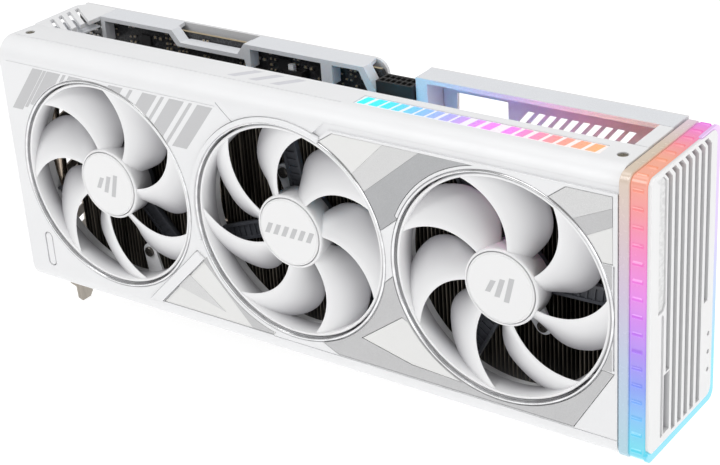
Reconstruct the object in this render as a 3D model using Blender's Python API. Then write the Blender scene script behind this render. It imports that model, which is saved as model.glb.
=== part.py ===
"""Graphics card with three fans, a moulded front shroud and a lit tail ring.

Card coordinates are millimetres: x along the length from the bracket to the tail,
y from the fan face to the backplate, z from the lower edge of the shroud upwards.
place() turns them into the object's own frame in metres.
"""

import math

import bmesh
import bpy
from mathutils import Matrix, Vector

# ---------------------------------------------------------------- driving sizes
BODY_END = 356.5
DEPTH = 64.0
HEIGHT = 132.0
TAB_DROP = 29.5
FLANGE_REACH = 11.4
FRONT_RELIEF = 1.2
SCREW_RELIEF = 0.8
GAP = 0.3

BRACKET_T = 1.1
ORIGIN_X = (BODY_END - BRACKET_T - FLANGE_REACH) / 2
ORIGIN_Y = (DEPTH + SCREW_RELIEF - FRONT_RELIEF) / 2

SHROUD_X0 = 0.3
SHROUD_X1 = 342.5
SHROUD_WALL = 2.6
TOP_STRIP_Y = 26.5
BOTTOM_STRIP_Y = 20.0
SHOULDER_Y = 10.0
SHOULDER_Z = 10.3
TOE_Y = 6.0
TOE_Z = 8.4
POCKET = 1.4

FAN_Z = 66.0
FAN_PITCH = 112.2
FAN_X = (62.3, 62.3 + FAN_PITCH, 62.3 + 2 * FAN_PITCH)
OPENING_R = 53.5
DUCT_R = 55.2
DUCT_END = 17.5
RING_OUT_R = 52.3
RING_IN_R = 50.9
RING_Y = (1.0, 11.5)
HUB_R = 18.2
HUB_WALL = 1.6
HUB_Y = (2.6, 13.4)
HUB_FLOOR = 4.2
CAP_Y = (1.3, 2.3)
SHAFT_R = 1.5
BLADES = 7
BLADE_T = 1.5

FIN_FRONT = 18.0
FIN_BACK = 45.8
FIN_Z = (8.0, 110.0)
PIPE_R = 3.0
PIPE_Y = 49.3

PCB_Y = (56.5, 58.1)
PCB_X = (2.5, 206.0)
PCB_Z = (-9.0, 129.2)
FINGER_Z = -17.3

BACKPLATE_Y = (62.2, 64.0)
BACK_SCREWS = ((144, 36), (206, 36), (144, 96), (206, 96))

RING_X = ((342.9, 347.4), (347.7, 354.6))
RING_WALL = 3.0
CORNER = 4.5


# --------------------------------------------------------------------- helpers
def place(x, y, z):
    return Vector(((x - ORIGIN_X) / 1000, (y - ORIGIN_Y) / 1000, (z + TAB_DROP) / 1000))


def clear():
    for thing in list(bpy.data.objects):
        bpy.data.objects.remove(thing, do_unlink=True)


def collection(name):
    made = bpy.data.collections.new(name)
    bpy.context.scene.collection.children.link(made)
    return made


clear()
PARTS = collection("graphics_card")
CUTTERS = collection("cutters")


def plain_material(name, colour, metallic=0.0, roughness=0.5):
    made = bpy.data.materials.new(name)
    made.use_nodes = True
    shader = made.node_tree.nodes["Principled BSDF"]
    shader.inputs["Base Color"].default_value = (*colour, 1.0)
    shader.inputs["Metallic"].default_value = metallic
    shader.inputs["Roughness"].default_value = roughness
    return made


def to_object(name, bm, material=None, pivot=(0.0, 0.0, 0.0)):
    """Make an object from a bmesh in card millimetres, with its origin on pivot."""
    bmesh.ops.recalc_face_normals(bm, faces=bm.faces)
    base = place(*pivot)
    for vert in bm.verts:
        vert.co = place(*vert.co) - base
    mesh = bpy.data.meshes.new(name)
    bm.to_mesh(mesh)
    bm.free()
    made = bpy.data.objects.new(name, mesh)
    made.location = base
    if material is None:
        CUTTERS.objects.link(made)
        made.hide_render = True
        made.display_type = "WIRE"
    else:
        PARTS.objects.link(made)
        mesh.materials.append(material)
        mesh.shade_smooth()
        mesh.set_sharp_from_angle(angle=math.radians(30))
    return made


def axis_point(axis, u, v, along):
    if axis == "x":
        return (along, u, v)
    if axis == "y":
        return (u, along, v)
    return (u, v, along)


def add_prism(bm, axis, outline, lo, hi):
    """Fill a closed outline and extrude it; its points are the two coordinates other than the axis."""
    flat = bm.faces.new([bm.verts.new(axis_point(axis, u, v, lo)) for u, v in outline])
    raised = bmesh.ops.extrude_face_region(bm, geom=[flat], use_keep_orig=True)["geom"]
    moved = [item for item in raised if isinstance(item, bmesh.types.BMVert)]
    bmesh.ops.translate(bm, vec=Vector(axis_point(axis, 0, 0, hi - lo)), verts=moved)


def add_box(bm, x0, x1, y0, y1, z0, z1):
    middle = Matrix.Translation(((x0 + x1) / 2, (y0 + y1) / 2, (z0 + z1) / 2))
    size = Matrix.Diagonal((x1 - x0, y1 - y0, z1 - z0, 1.0))
    bmesh.ops.create_cube(bm, size=1.0, matrix=middle @ size)


AXIS_TURN = {
    "x": Matrix.Rotation(math.pi / 2, 4, "Y"),
    "y": Matrix.Rotation(math.pi / 2, 4, "X"),
    "z": Matrix.Identity(4),
}


def add_cylinder(bm, axis, centre, radius, sides, lo, hi):
    middle = Matrix.Translation(axis_point(axis, *centre, (lo + hi) / 2))
    bmesh.ops.create_cone(
        bm,
        cap_ends=True,
        segments=sides,
        radius1=radius,
        radius2=radius,
        depth=hi - lo,
        matrix=middle @ AXIS_TURN[axis],
    )


def arc(cx, cz, radius, start, end, steps):
    points = []
    for i in range(steps + 1):
        angle = math.radians(start + (end - start) * i / steps)
        points.append((cx + radius * math.cos(angle), cz + radius * math.sin(angle)))
    return points


def rounded_rectangle(u0, u1, v0, v1, radius, steps=4):
    points = []
    corners = (
        (u1 - radius, v0 + radius, -90),
        (u1 - radius, v1 - radius, 0),
        (u0 + radius, v1 - radius, 90),
        (u0 + radius, v0 + radius, 180),
    )
    for cu, cv, start in corners:
        points += arc(cu, cv, radius, start, start + 90, steps)
    return points


def prism(name, material, axis, outline, lo, hi, pivot=(0.0, 0.0, 0.0)):
    bm = bmesh.new()
    add_prism(bm, axis, outline, lo, hi)
    return to_object(name, bm, material, pivot)


def cylinder(name, material, axis, centre, radius, sides, lo, hi, pivot=(0.0, 0.0, 0.0)):
    bm = bmesh.new()
    add_cylinder(bm, axis, centre, radius, sides, lo, hi)
    return to_object(name, bm, material, pivot)


def box(name, material, x0, x1, y0, y1, z0, z1, pivot=(0.0, 0.0, 0.0)):
    bm = bmesh.new()
    add_box(bm, x0, x1, y0, y1, z0, z1)
    return to_object(name, bm, material, pivot)


def combine(target, tool, operation):
    modifier = target.modifiers.new(operation.lower(), "BOOLEAN")
    modifier.operation = operation
    modifier.solver = "EXACT"
    modifier.object = tool


def cut(target, tool):
    combine(target, tool, "DIFFERENCE")


def add(target, tool):
    combine(target, tool, "UNION")


def rounded_path(path, bend, steps):
    """The path with each corner replaced by a curve that starts a bend radius before it."""
    corners = [Vector(p) for p in path]
    line = [corners[0]]
    for before, here, after in zip(corners, corners[1:], corners[2:]):
        a = here + (before - here).normalized() * bend
        b = here + (after - here).normalized() * bend
        for i in range(steps + 1):
            t = i / steps
            line.append(a * (1 - t) ** 2 + here * 2 * t * (1 - t) + b * t * t)
    line.append(corners[-1])
    return line


def pipe(name, material, path, radius, bend=7.0, steps=4):
    """A round bar with bent corners."""
    line = rounded_path(path, bend, steps)
    curve = bpy.data.curves.new(name, "CURVE")
    curve.dimensions = "3D"
    curve.bevel_depth = radius / 1000
    curve.bevel_resolution = 3
    curve.use_fill_caps = True
    spline = curve.splines.new("POLY")
    spline.points.add(len(line) - 1)
    for point, here in zip(spline.points, line):
        point.co = (*place(*here), 1.0)
    curve.materials.append(material)
    made = bpy.data.objects.new(name, curve)
    weld = made.modifiers.new("weld", "WELD")
    weld.merge_threshold = 0.00001
    PARTS.objects.link(made)


# ------------------------------------------------------------------- materials
WHITE = plain_material("white_shell", (0.86, 0.86, 0.87), 0.0, 0.38)
FAN_WHITE = plain_material("fan_white", (0.82, 0.82, 0.85), 0.0, 0.4)
CAP_WHITE = plain_material("hub_cap_white", (0.9, 0.9, 0.9), 0.0, 0.3)
SILVER = plain_material("silver_trim", (0.62, 0.63, 0.64), 0.6, 0.35)
FRAME_GREY = plain_material("motor_frame_grey", (0.1, 0.1, 0.11), 0.0, 0.5)
STEEL = plain_material("shaft_steel", (0.6, 0.6, 0.62), 1.0, 0.25)
FIN_BLACK = plain_material("fin_dark", (0.03, 0.028, 0.025), 0.6, 0.45)
NICKEL = plain_material("heatpipe_nickel", (0.5, 0.42, 0.34), 1.0, 0.3)
PCB_DARK = plain_material("pcb_black", (0.02, 0.02, 0.022), 0.0, 0.4)
CHIP_BLACK = plain_material("chip_black", (0.03, 0.03, 0.035), 0.0, 0.45)
CHOKE_GREY = plain_material("choke_grey", (0.18, 0.18, 0.19), 0.2, 0.5)
SOCKET_BLACK = plain_material("socket_black", (0.02, 0.02, 0.02), 0.0, 0.5)
BACK_WHITE = plain_material("backplate_white", (0.8, 0.8, 0.82), 0.3, 0.4)
CLEAR = plain_material("clear_diffuser", (0.93, 0.88, 0.84), 0.0, 0.25)
LIT = plain_material("lit_guide", (0.95, 0.5, 0.75), 0.0, 0.3)
LED_BOARD = plain_material("led_board", (0.7, 0.7, 0.7), 0.0, 0.5)
PLATED = plain_material("bracket_metal", (0.45, 0.42, 0.38), 1.0, 0.35)
PORT_METAL = plain_material("port_metal", (0.55, 0.55, 0.56), 1.0, 0.3)
SCREW = plain_material("screw_metal", (0.3, 0.29, 0.27), 1.0, 0.35)


# ---------------------------------------------------------------- front outlines
def grow(outline, amount):
    """The outline moved outwards by an amount, with mitred corners."""
    count = len(outline)
    area = 0.0
    for i in range(count):
        a, b = outline[i], outline[(i + 1) % count]
        area += a[0] * b[1] - b[0] * a[1]
    turn = 1 if area > 0 else -1
    grown = []
    for i in range(count):
        here = Vector(outline[i])
        back = (here - Vector(outline[i - 1])).normalized()
        ahead = (Vector(outline[(i + 1) % count]) - here).normalized()
        first = Vector((back.y, -back.x)) * turn
        second = Vector((ahead.y, -ahead.x)) * turn
        mitre = (first + second) / max(0.35, 1 + first.dot(second))
        grown.append(tuple(here + mitre * amount))
    return grown


def fan_arc(index, radius, start, end, steps):
    return arc(FAN_X[index], FAN_Z, radius, start, end, steps)


UPPER_CENTRE = fan_arc(1, 54.9, 66, 15, 8) + [(236.5, 87.5)] + fan_arc(2, 56.3, 156, 102, 8)
UPPER_CENTRE += [(276.0, 121.2), (204.5, 121.2)]
LOWER_CENTRE = fan_arc(1, 54.9, -12, -73, 9) + [(199.0, 9.5), (322.0, 9.5), (341.0, 40.5)]
LOWER_CENTRE += fan_arc(2, 54.9, -27, -172, 20)
INFILL = [(213.5, 22.3), (235.9, 38.6)] + fan_arc(2, 55.6, 211, 248, 7) + [(240.0, 15.9)]
TOP_RIGHT = [(319.5, 120.8), (340.2, 120.8), (340.2, 91.0)] + fan_arc(2, 54.9, 27, 63, 6)
LOWER_LEFT = [(92.0, 9.2), (160.6, 9.2)] + fan_arc(1, 56.6, 257, 206, 8)
DIAGONAL = [(83.5, 9.2), (91.0, 9.2), (122.6, 40.8), (118.0, 43.7)]
TRIM_RING = fan_arc(1, 56.6, 66, 196, 24) + fan_arc(1, 54.2, 196, 66, 24)

FRONT_PLATES = (
    ("accent_panel_upper_centre", SILVER, UPPER_CENTRE, 0.0),
    ("accent_panel_lower_centre", SILVER, LOWER_CENTRE, 0.0),
    ("accent_panel_top_right", SILVER, TOP_RIGHT, 0.0),
    ("accent_panel_lower_left", WHITE, LOWER_LEFT, 0.0),
    ("diagonal_bar", WHITE, DIAGONAL, -FRONT_RELIEF),
    ("centre_fan_trim_ring", WHITE, TRIM_RING, -FRONT_RELIEF),
)


# --------------------------------------------------------------------- shroud
def shell_profile(wall, top_y, bottom_y):
    """Outer face of the shroud in y and z, drawn in by the wall thickness."""
    points = [(top_y, HEIGHT - wall)]
    for i in range(9):
        angle = math.radians(90 + 90 * i / 8)
        y = SHOULDER_Y + (SHOULDER_Y - wall) * math.cos(angle)
        z = HEIGHT - SHOULDER_Z + (SHOULDER_Z - wall) * math.sin(angle)
        points.append((y, z))
    for i in range(6):
        angle = math.radians(180 + 90 * i / 5)
        y = TOE_Y + (TOE_Y - wall) * math.cos(angle)
        z = TOE_Z + (TOE_Z - wall) * math.sin(angle)
        points.append((y, z))
    points.append((bottom_y, wall))
    return points


def make_shroud():
    bm = bmesh.new()
    add_prism(bm, "x", shell_profile(0.0, TOP_STRIP_Y, BOTTOM_STRIP_Y), SHROUD_X0, SHROUD_X1)
    rim = []
    for edge in bm.edges:
        a, b = (v.co for v in edge.verts)
        at_end = abs(a.x - SHROUD_X0) < 0.01 and abs(b.x - SHROUD_X0) < 0.01
        behind = min(a.y, b.y) > BOTTOM_STRIP_Y - 1
        if at_end and not behind:
            rim.append(edge)
    bmesh.ops.bevel(bm, geom=rim, offset=2.2, segments=2, affect="EDGES", profile=0.5)
    shroud = to_object("front_shroud", bm, WHITE)

    hollow = bmesh.new()
    inner = shell_profile(SHROUD_WALL, 90.0, 90.0)
    add_prism(hollow, "x", inner, SHROUD_X0 + SHROUD_WALL, SHROUD_X1 + 20)
    cut(shroud, to_object("cut_shroud_hollow", hollow))

    for index, x in enumerate(FAN_X):
        duct = bmesh.new()
        add_cylinder(duct, "y", (x, FAN_Z), DUCT_R, 72, 1.0, DUCT_END)
        add(shroud, to_object(f"duct_{index}", duct))
    bores = bmesh.new()
    for x in FAN_X:
        add_cylinder(bores, "y", (x, FAN_Z), OPENING_R, 72, -5, DUCT_END + 5)
    cut(shroud, to_object("cut_fan_openings", bores))

    outlines = [grow(outline, GAP) for _, _, outline, _ in FRONT_PLATES]
    outlines.append(rounded_rectangle(13.0, 18.0, 10.5, 29.5, 2.4))
    for index, outline in enumerate(outlines):
        cut(shroud, prism(f"cut_front_pocket_{index}", None, "y", outline, -5, POCKET))

    top = bmesh.new()
    add_box(top, 208.0, 328.0, 12.4, 21.6, HEIGHT - 1.6, HEIGHT + 5)
    for x in (8.0, 336.5):
        add_cylinder(top, "z", (x, 16.0), 2.6, 16, HEIGHT - 5, HEIGHT + 5)
    cut(shroud, to_object("cut_top_recesses", top))
    return shroud


def make_front_plates():
    plates = {}
    for name, material, outline, front in FRONT_PLATES:
        plates[name] = prism(name, material, "y", outline, front, POCKET - GAP)
    window = prism("cut_infill", None, "y", grow(INFILL, GAP), -5, 5)
    cut(plates["accent_panel_lower_centre"], window)
    prism("infill_panel", WHITE, "y", INFILL, 0.0, POCKET - GAP)


# ----------------------------------------------------------------------- fans
def polynomial(factors, t):
    return sum(k * t**i for i, k in enumerate(factors))


LEAD_ANGLE = (0.0, 16.0, 17.0, -1.0)
LEAD_DEPTH = (2.9, 0.9, -2.0)
TRAIL_ANGLE = (-30.0, -6.0, 24.0, 16.0)
TRAIL_DEPTH = (9.5, 17.0, -17.0)


def blade_section(radius, phase, turn):
    """A closed loop round the blade at one radius: angle and depth of each point."""
    t = (radius - 18.0) / 34.0
    lead = (polynomial(LEAD_ANGLE, t), polynomial(LEAD_DEPTH, t))
    trail = (polynomial(TRAIL_ANGLE, t), min(12.6, polynomial(TRAIL_DEPTH, t)))
    chord = Vector((math.radians(trail[0] - lead[0]) * radius, trail[1] - lead[1]))
    normal = Vector((-chord.y, chord.x)).normalized()
    loop = []
    for along, side in ((0, 0.35), (0.35, 1), (0.7, 0.9), (1, 0.4), (1, -0.4), (0.65, -0.4), (0.3, -0.3)):
        camber = 0.9 * math.sin(math.pi * along)
        offset = normal * (camber + side * BLADE_T / 2)
        point = Vector((math.radians(lead[0]) * radius, lead[1])) + chord * along + offset
        angle = math.radians(phase) + point.x / radius
        loop.append((turn * radius * math.cos(angle), point.y, radius * math.sin(angle)))
    return loop


def blade_set(index, phase, turn):
    bm = bmesh.new()
    radii = [HUB_R - 0.9 + (RING_IN_R + 0.7 - HUB_R + 0.9) * i / 5 for i in range(6)]
    for k in range(BLADES):
        loops = []
        for radius in radii:
            section = blade_section(radius, phase + 360 * k / BLADES, turn)
            loops.append([bm.verts.new((FAN_X[index] + x, y, FAN_Z + z)) for x, y, z in section])
        for a, b in zip(loops, loops[1:]):
            for i in range(len(a)):
                j = (i + 1) % len(a)
                bm.faces.new((a[i], a[j], b[j], b[i]))
        bm.faces.new(list(reversed(loops[0])))
        bm.faces.new(loops[-1])
    return bm


ARM_ANGLES = ((-48.0, 72.0, 204.0), (100.0, 200.0, 320.0), (-119.0, 1.0, 121.0))


def make_fan(name, index, phase, turn):
    x = FAN_X[index]
    pivot = (x, 0.0, FAN_Z)
    bm = bmesh.new()
    add_cylinder(bm, "y", (x, FAN_Z), HUB_R, 48, *HUB_Y)
    rotor = to_object(f"{name}_rotor", bm, FAN_WHITE, pivot)
    blades = to_object(f"blades_{index}", blade_set(index, phase, turn))
    add(rotor, blades)
    hollow = bmesh.new()
    add_cylinder(hollow, "y", (x, FAN_Z), HUB_R - HUB_WALL, 48, HUB_FLOOR, HUB_Y[1] + 5)
    cut(rotor, to_object(f"cut_hub_{index}", hollow))
    bore = bmesh.new()
    add_cylinder(bore, "y", (x, FAN_Z), SHAFT_R + GAP, 16, 0.0, HUB_FLOOR + 1)
    cut(rotor, to_object(f"cut_shaft_{index}", bore))
    ring = cylinder(f"blade_ring_{index}", None, "y", (x, FAN_Z), RING_OUT_R, 64, *RING_Y)
    cut(ring, cylinder(f"cut_ring_{index}", None, "y", (x, FAN_Z), RING_IN_R, 64, -5, 20))
    add(rotor, ring)

    cylinder(f"{name}_hub_cap", CAP_WHITE, "y", (x, FAN_Z), 17.4, 48, *CAP_Y, pivot=pivot)
    cylinder(f"{name}_shaft", STEEL, "y", (x, FAN_Z), SHAFT_R, 16, 2.8, 15.4, pivot=pivot)

    bm = bmesh.new()
    add_cylinder(bm, "y", (x, FAN_Z), 17.5, 40, 13.9, 16.6)
    frame = to_object(f"{name}_motor_frame", bm, FRAME_GREY)
    motor = bmesh.new()
    add_cylinder(motor, "y", (x, FAN_Z), 15.6, 40, 5.2, 15.0)
    add(frame, to_object(f"motor_{index}", motor))
    for k, angle in enumerate(ARM_ANGLES[index]):
        arm = bmesh.new()
        out = math.radians(angle)
        side = Vector((-math.sin(out), math.cos(out))) * 2.6
        tip = Vector((x, FAN_Z)) + Vector((math.cos(out), math.sin(out))) * 53.0
        root = Vector((x, FAN_Z)) + Vector((math.cos(out), math.sin(out))) * 10.0
        add_prism(arm, "y", [root - side, tip - side, tip + side, root + side], 14.3, 16.9)
        add(frame, to_object(f"motor_arm_{index}_{k}", arm))
    bore = bmesh.new()
    add_cylinder(bore, "y", (x, FAN_Z), SHAFT_R + GAP, 16, 0.0, 20.0)
    cut(frame, to_object(f"cut_motor_{index}", bore))


# -------------------------------------------------------------------- cooling
def make_fin_stack(name, x0, x1, count):
    """Upright cooling fins on one rear web, drawn coarser than the real pitch."""
    pitch = (x1 - x0) / count
    thick = 0.8
    outline = [(x0, FIN_BACK), (x0, FIN_FRONT)]
    for i in range(count):
        left = x0 + i * pitch
        outline += [(left + thick, FIN_FRONT), (left + thick, FIN_BACK - 1.2)]
        outline += [(left + pitch, FIN_BACK - 1.2), (left + pitch, FIN_FRONT)]
    outline += [(x1 + thick, FIN_FRONT), (x1 + thick, FIN_BACK)]
    prism(name, FIN_BLACK, "z", outline, *FIN_Z)


def make_cooling():
    make_fin_stack("fin_stack_left", 25.0, 111.0, 18)
    make_fin_stack("fin_stack_centre", 123.0, 224.0, 20)
    make_fin_stack("fin_stack_right", 231.0, 325.0, 19)
    front = 21.5
    pipe(
        "heatpipe_left",
        NICKEL,
        [
            (200, PIPE_Y, 39),
            (17, PIPE_Y, 39),
            (9.5, front, 39),
            (9.5, front, 94),
            (17, PIPE_Y, 94),
            (318, PIPE_Y, 94),
        ],
        PIPE_R,
    )
    pipe(
        "heatpipe_centre",
        NICKEL,
        [
            (30, PIPE_Y, 50),
            (117, PIPE_Y, 50),
            (117, front, 50),
            (117, front, 82),
            (117, PIPE_Y, 82),
            (222, PIPE_Y, 82),
        ],
        PIPE_R,
    )
    pipe(
        "heatpipe_right",
        NICKEL,
        [
            (140, PIPE_Y, 66),
            (333, PIPE_Y, 66),
            (333, front, 66),
            (333, front, 28),
            (333, PIPE_Y, 28),
            (120, PIPE_Y, 28),
        ],
        PIPE_R,
    )
    box("cold_plate", NICKEL, 135, 212, 52.6, 54.3, 32, 100)


# ---------------------------------------------------------------- circuit board
def make_board():
    x0, x1 = PCB_X
    z0, z1 = PCB_Z
    outline = [
        (x0, z0),
        (44.0, z0),
        (44.0, FINGER_Z),
        (55.65, FINGER_Z),
        (55.65, z0 - 1.0),
        (57.55, z0 - 1.0),
        (57.55, FINGER_Z),
        (129.2, FINGER_Z),
        (129.2, z0),
        (140.0, z0),
        (146.0, z0 + 5),
        (x1 - 12, z0 + 5),
        (x1, z0 + 17),
        (x1, 96.0),
        (x1 + 9.5, 101.0),
        (x1 + 9.5, 120.0),
        (197.5, 121.0),
        (193.0, z1),
        (x0, z1),
    ]
    prism("circuit_board", PCB_DARK, "y", outline, *PCB_Y)
    front = PCB_Y[0] - GAP
    package = box("gpu_package", CHIP_BLACK, 151, 197, front - 0.9, front, 43, 89)
    die = bmesh.new()
    add_box(die, 162, 186, front - 1.5, front - 0.5, 53, 78)
    add(package, to_object("gpu_die", die))
    for k, (x, z) in enumerate(((136, 50), (136, 68), (158, 95), (178, 95))):
        box(f"memory_chip_{k + 1}", CHIP_BLACK, x, x + 12, front - 1.1, front, z, z + 12)
    for k, z in enumerate((34.0, 62.0)):
        box(f"power_choke_{k + 1}", CHOKE_GREY, 96, 106, front - 3.2, front, z, z + 20)

    socket = box("power_socket", SOCKET_BLACK, 196, 215.5, 46.5, front, 112, 128)
    pins = bmesh.new()
    for i in range(6):
        for j in range(2):
            x = 197.2 + 2.9 * i
            y = 47.6 + 4.0 * j
            add_box(pins, x, x + 2.2, y, y + 3.0, 117, 140)
    cut(socket, to_object("cut_power_pins", pins))


def make_switch():
    housing = box("bios_switch_housing", SOCKET_BLACK, 139, 150, 51.0, 56.2, 118.5, 122.0)
    slot = bmesh.new()
    add_box(slot, 140.5, 148.5, 52.2, 55.2, 120.2, 126)
    cut(housing, to_object("cut_switch_slot", slot))
    pivot = (142.5, 53.7, 121.5)
    box("bios_switch_slider", CAP_WHITE, 141.0, 144.0, 52.6, 54.8, 120.6, 124.4, pivot=pivot)


# ------------------------------------------------------------- back and top
def make_backplate():
    x0, x1 = 2.0, 342.0
    outline = [(x0, 2.0), (x1, 2.0), (x1, 131.6), (215.0, 131.6), (215.0, 104.0)]
    outline += [(192.0, 104.0)] + arc(185.0, 124.6, 7.0, 0, 90, 4) + [(x0, 131.6)]
    plate = prism("backplate", BACK_WHITE, "y", outline, *BACKPLATE_Y)
    window = bmesh.new()
    add_prism(window, "y", [(227, 62), (246, 62), (256, 114), (256, 122.4), (229.5, 122.4)], 58, 70)
    for i in range(10):
        x = 266.0 + 5.5 * i
        add_prism(window, "y", [(x - 10, 108), (x - 6.8, 108), (x + 3.4, 119.9), (x, 119.9)], 58, 70)
    cut(plate, to_object("cut_backplate", window))
    holes = bmesh.new()
    for x, z in BACK_SCREWS:
        add_cylinder(holes, "y", (x, z), 2.2, 12, 60, 70)
    cut(plate, to_object("cut_backplate_screws", holes))


def make_back_screws():
    for k, (x, z) in enumerate(BACK_SCREWS):
        bm = bmesh.new()
        add_cylinder(bm, "y", (x, z), 3.4, 16, DEPTH + GAP, DEPTH + SCREW_RELIEF)
        head = to_object(f"backplate_screw_{k + 1}", bm, SCREW)
        shank = bmesh.new()
        add_cylinder(shank, "y", (x, z), 1.5, 12, 58.6, DEPTH + 0.6)
        add(head, to_object(f"screw_shank_{k}", shank))


def make_top():
    bm = bmesh.new()
    panel = [(SHROUD_X0, 26.8), (24.0, 26.8), (24.0, 61.9), (5.0, 61.9), (SHROUD_X0, 57.0)]
    add_prism(bm, "z", panel, 129.6, HEIGHT)
    louvre = to_object("top_louvre_panel", bm, WHITE)
    slots = bmesh.new()
    for i in range(4):
        y = 35.0 + 6.0 * i
        add_prism(slots, "z", [(4.0, y - 1.2), (27.0, y - 16.5), (27.0, y - 14.0), (4.0, y + 1.3)], 125, 140)
    cut(louvre, to_object("cut_louvre_slots", slots))

    profile = [
        (24.3, 118.6),
        (27.0, 118.6),
        (27.0, 129.8),
        (70.0, 129.8),
        (74.5, 124.0),
        (117.0, 124.0),
        (118.0, 120.0),
        (121.0, 120.0),
        (121.0, 129.8),
        (163.0, 129.8),
        (163.0, 120.0),
        (169.5, 120.0),
        (169.5, 129.8),
        (184.5, 129.8),
        (190.0, 119.0),
        (195.0, 119.0),
        (187.5, HEIGHT),
        (117.5, HEIGHT),
        (113.0, 126.2),
        (77.0, 126.2),
        (72.0, HEIGHT),
        (24.3, HEIGHT),
    ]
    prism("top_frame", WHITE, "y", profile, 49.2, 55.6)

    profile = [
        (216.0, 108.0),
        (222.0, 108.0),
        (222.0, 129.8),
        (342.0, 129.8),
        (342.0, HEIGHT),
        (216.0, HEIGHT),
    ]
    prism("tail_frame", WHITE, "y", profile, 49.2, 61.9)
    box("tail_end_band", WHITE, 336.0, 342.3, 26.8, 48.9, 129.8, HEIGHT)
    box("top_light_bar", LIT, 208.3, 327.7, 12.7, 21.3, HEIGHT - 1.3, HEIGHT)
    for k, x in enumerate((8.0, 336.5)):
        cylinder(f"top_screw_{k + 1}", SCREW, "z", (x, 16.0), 2.2, 14, HEIGHT - 4.5, HEIGHT - 0.3)


# ------------------------------------------------------------------------ tail
def ring_outline(inset):
    radius = CORNER - inset if inset < CORNER - 1 else 1.0
    return rounded_rectangle(inset, DEPTH - inset, 0.4 + inset, HEIGHT - 0.4 - inset, radius)


def make_tail():
    names = (("ring_diffuser", CLEAR), ("ring_light_guide", LIT))
    for (name, material), (x0, x1) in zip(names, RING_X):
        band = prism(name, material, "x", ring_outline(0.0), x0, x1)
        cut(band, prism(f"cut_{name}", None, "x", ring_outline(RING_WALL), x0 - 5, x1 + 5))
    box("led_strip", LED_BOARD, 345.0, 351.0, 12.0, 52.0, 122.5, 124.0)

    bm = bmesh.new()
    add_prism(bm, "x", ring_outline(RING_WALL + GAP), 344.0, BODY_END)
    cap = to_object("tail_cap", bm, WHITE)
    hollow = bmesh.new()
    add_prism(hollow, "x", ring_outline(RING_WALL + GAP + 2.4), 340.0, BODY_END - 4.0)
    cut(cap, to_object("cut_cap_hollow", hollow))
    grooves = bmesh.new()
    for i in range(7):
        y = 17.5 + 5.9 * i
        bottom = 6.5 if i < 6 else 52.0
        add_box(grooves, BODY_END - 2.2, BODY_END + 5, y - 1.3, y + 1.3, bottom, 126.0)
    add_box(grooves, BODY_END - 1.2, BODY_END + 5, 8.0, 14.5, 68.0, 127.0)
    for z in (18.0, 27.0, 36.0):
        add_cylinder(grooves, "x", (56.0, z), 1.1, 10, BODY_END - 10, BODY_END + 5)
    cut(cap, to_object("cut_cap_grooves", grooves))


# --------------------------------------------------------------------- bracket
PORTS = (
    ("hdmi_socket_1", 76.0, 15.0),
    ("displayport_socket_1", 58.0, 16.5),
    ("displayport_socket_2", 40.0, 16.5),
    ("displayport_socket_3", 22.0, 16.5),
    ("hdmi_socket_2", 4.0, 15.0),
)
PORT_Y = (48.6, 54.4)


def make_bracket():
    bottom = -TAB_DROP
    top = 120.0 - TAB_DROP
    outline = [(24.8, -16.0), (28.5, -20.0), (28.9, bottom + 2.5), (31.0, bottom)]
    outline += [(37.0, bottom), (39.1, bottom + 2.5), (39.1, -20.0), (49.2, -20.0)]
    outline += [(49.2, bottom + 2.5), (51.3, bottom), (57.3, bottom), (59.4, bottom + 2.5)]
    outline += [(59.8, -20.0), (63.5, -16.0), (63.5, top), (24.8, top)]
    plate = prism("io_bracket", PLATED, "x", outline, -BRACKET_T, 0.0)
    flange = bmesh.new()
    add_box(flange, -BRACKET_T - FLANGE_REACH, -BRACKET_T / 2, 24.8, 63.5, top - 1.0, top)
    add(plate, to_object("bracket_flange", flange))
    openings = bmesh.new()
    for _, z, width in PORTS:
        reach = width / 2 + GAP
        add_box(openings, -5, 5, PORT_Y[0] - GAP, PORT_Y[1] + GAP, z - reach, z + reach)
    for i in range(9):
        z = 2.0 + 9.4 * i
        add_prism(openings, "x", [(29.5, z), (41.5, z + 4.0), (41.5, z + 8.5), (29.5, z + 4.5)], -5, 5)
    for y in (34.0, 54.3):
        add_cylinder(openings, "z", (-8.0, y), 2.2, 14, top - 5, top + 5)
    cut(plate, to_object("cut_bracket", openings))

    for name, z, width in PORTS:
        reach = width / 2
        shell = box(name, PORT_METAL, -BRACKET_T - 0.4, 12.5, PORT_Y[0], PORT_Y[1], z - reach, z + reach)
        mouth = bmesh.new()
        add_box(mouth, -6, 10.5, PORT_Y[0] + 0.6, PORT_Y[1] - 0.6, z - reach + 0.7, z + reach - 0.7)
        cut(shell, to_object(f"cut_{name}", mouth))


make_shroud()
make_front_plates()
make_fan("fan_left", 0, 54.3, 1)
make_fan("fan_centre", 1, 22.0, -1)
make_fan("fan_right", 2, 29.1, 1)
make_cooling()
make_board()
make_switch()
make_backplate()
make_back_screws()
make_top()
make_tail()
make_bracket()
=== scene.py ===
"""Looks of the graphics card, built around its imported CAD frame.

Card coordinates are millimetres, as in the CAD: x from the bracket to the tail, y from the
fan face to the backplate, z upwards from the lower edge of the shroud. at() turns them into
the frame's metres.
"""

import math
import random

import bmesh
import bpy
from mathutils import Matrix, Vector


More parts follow.
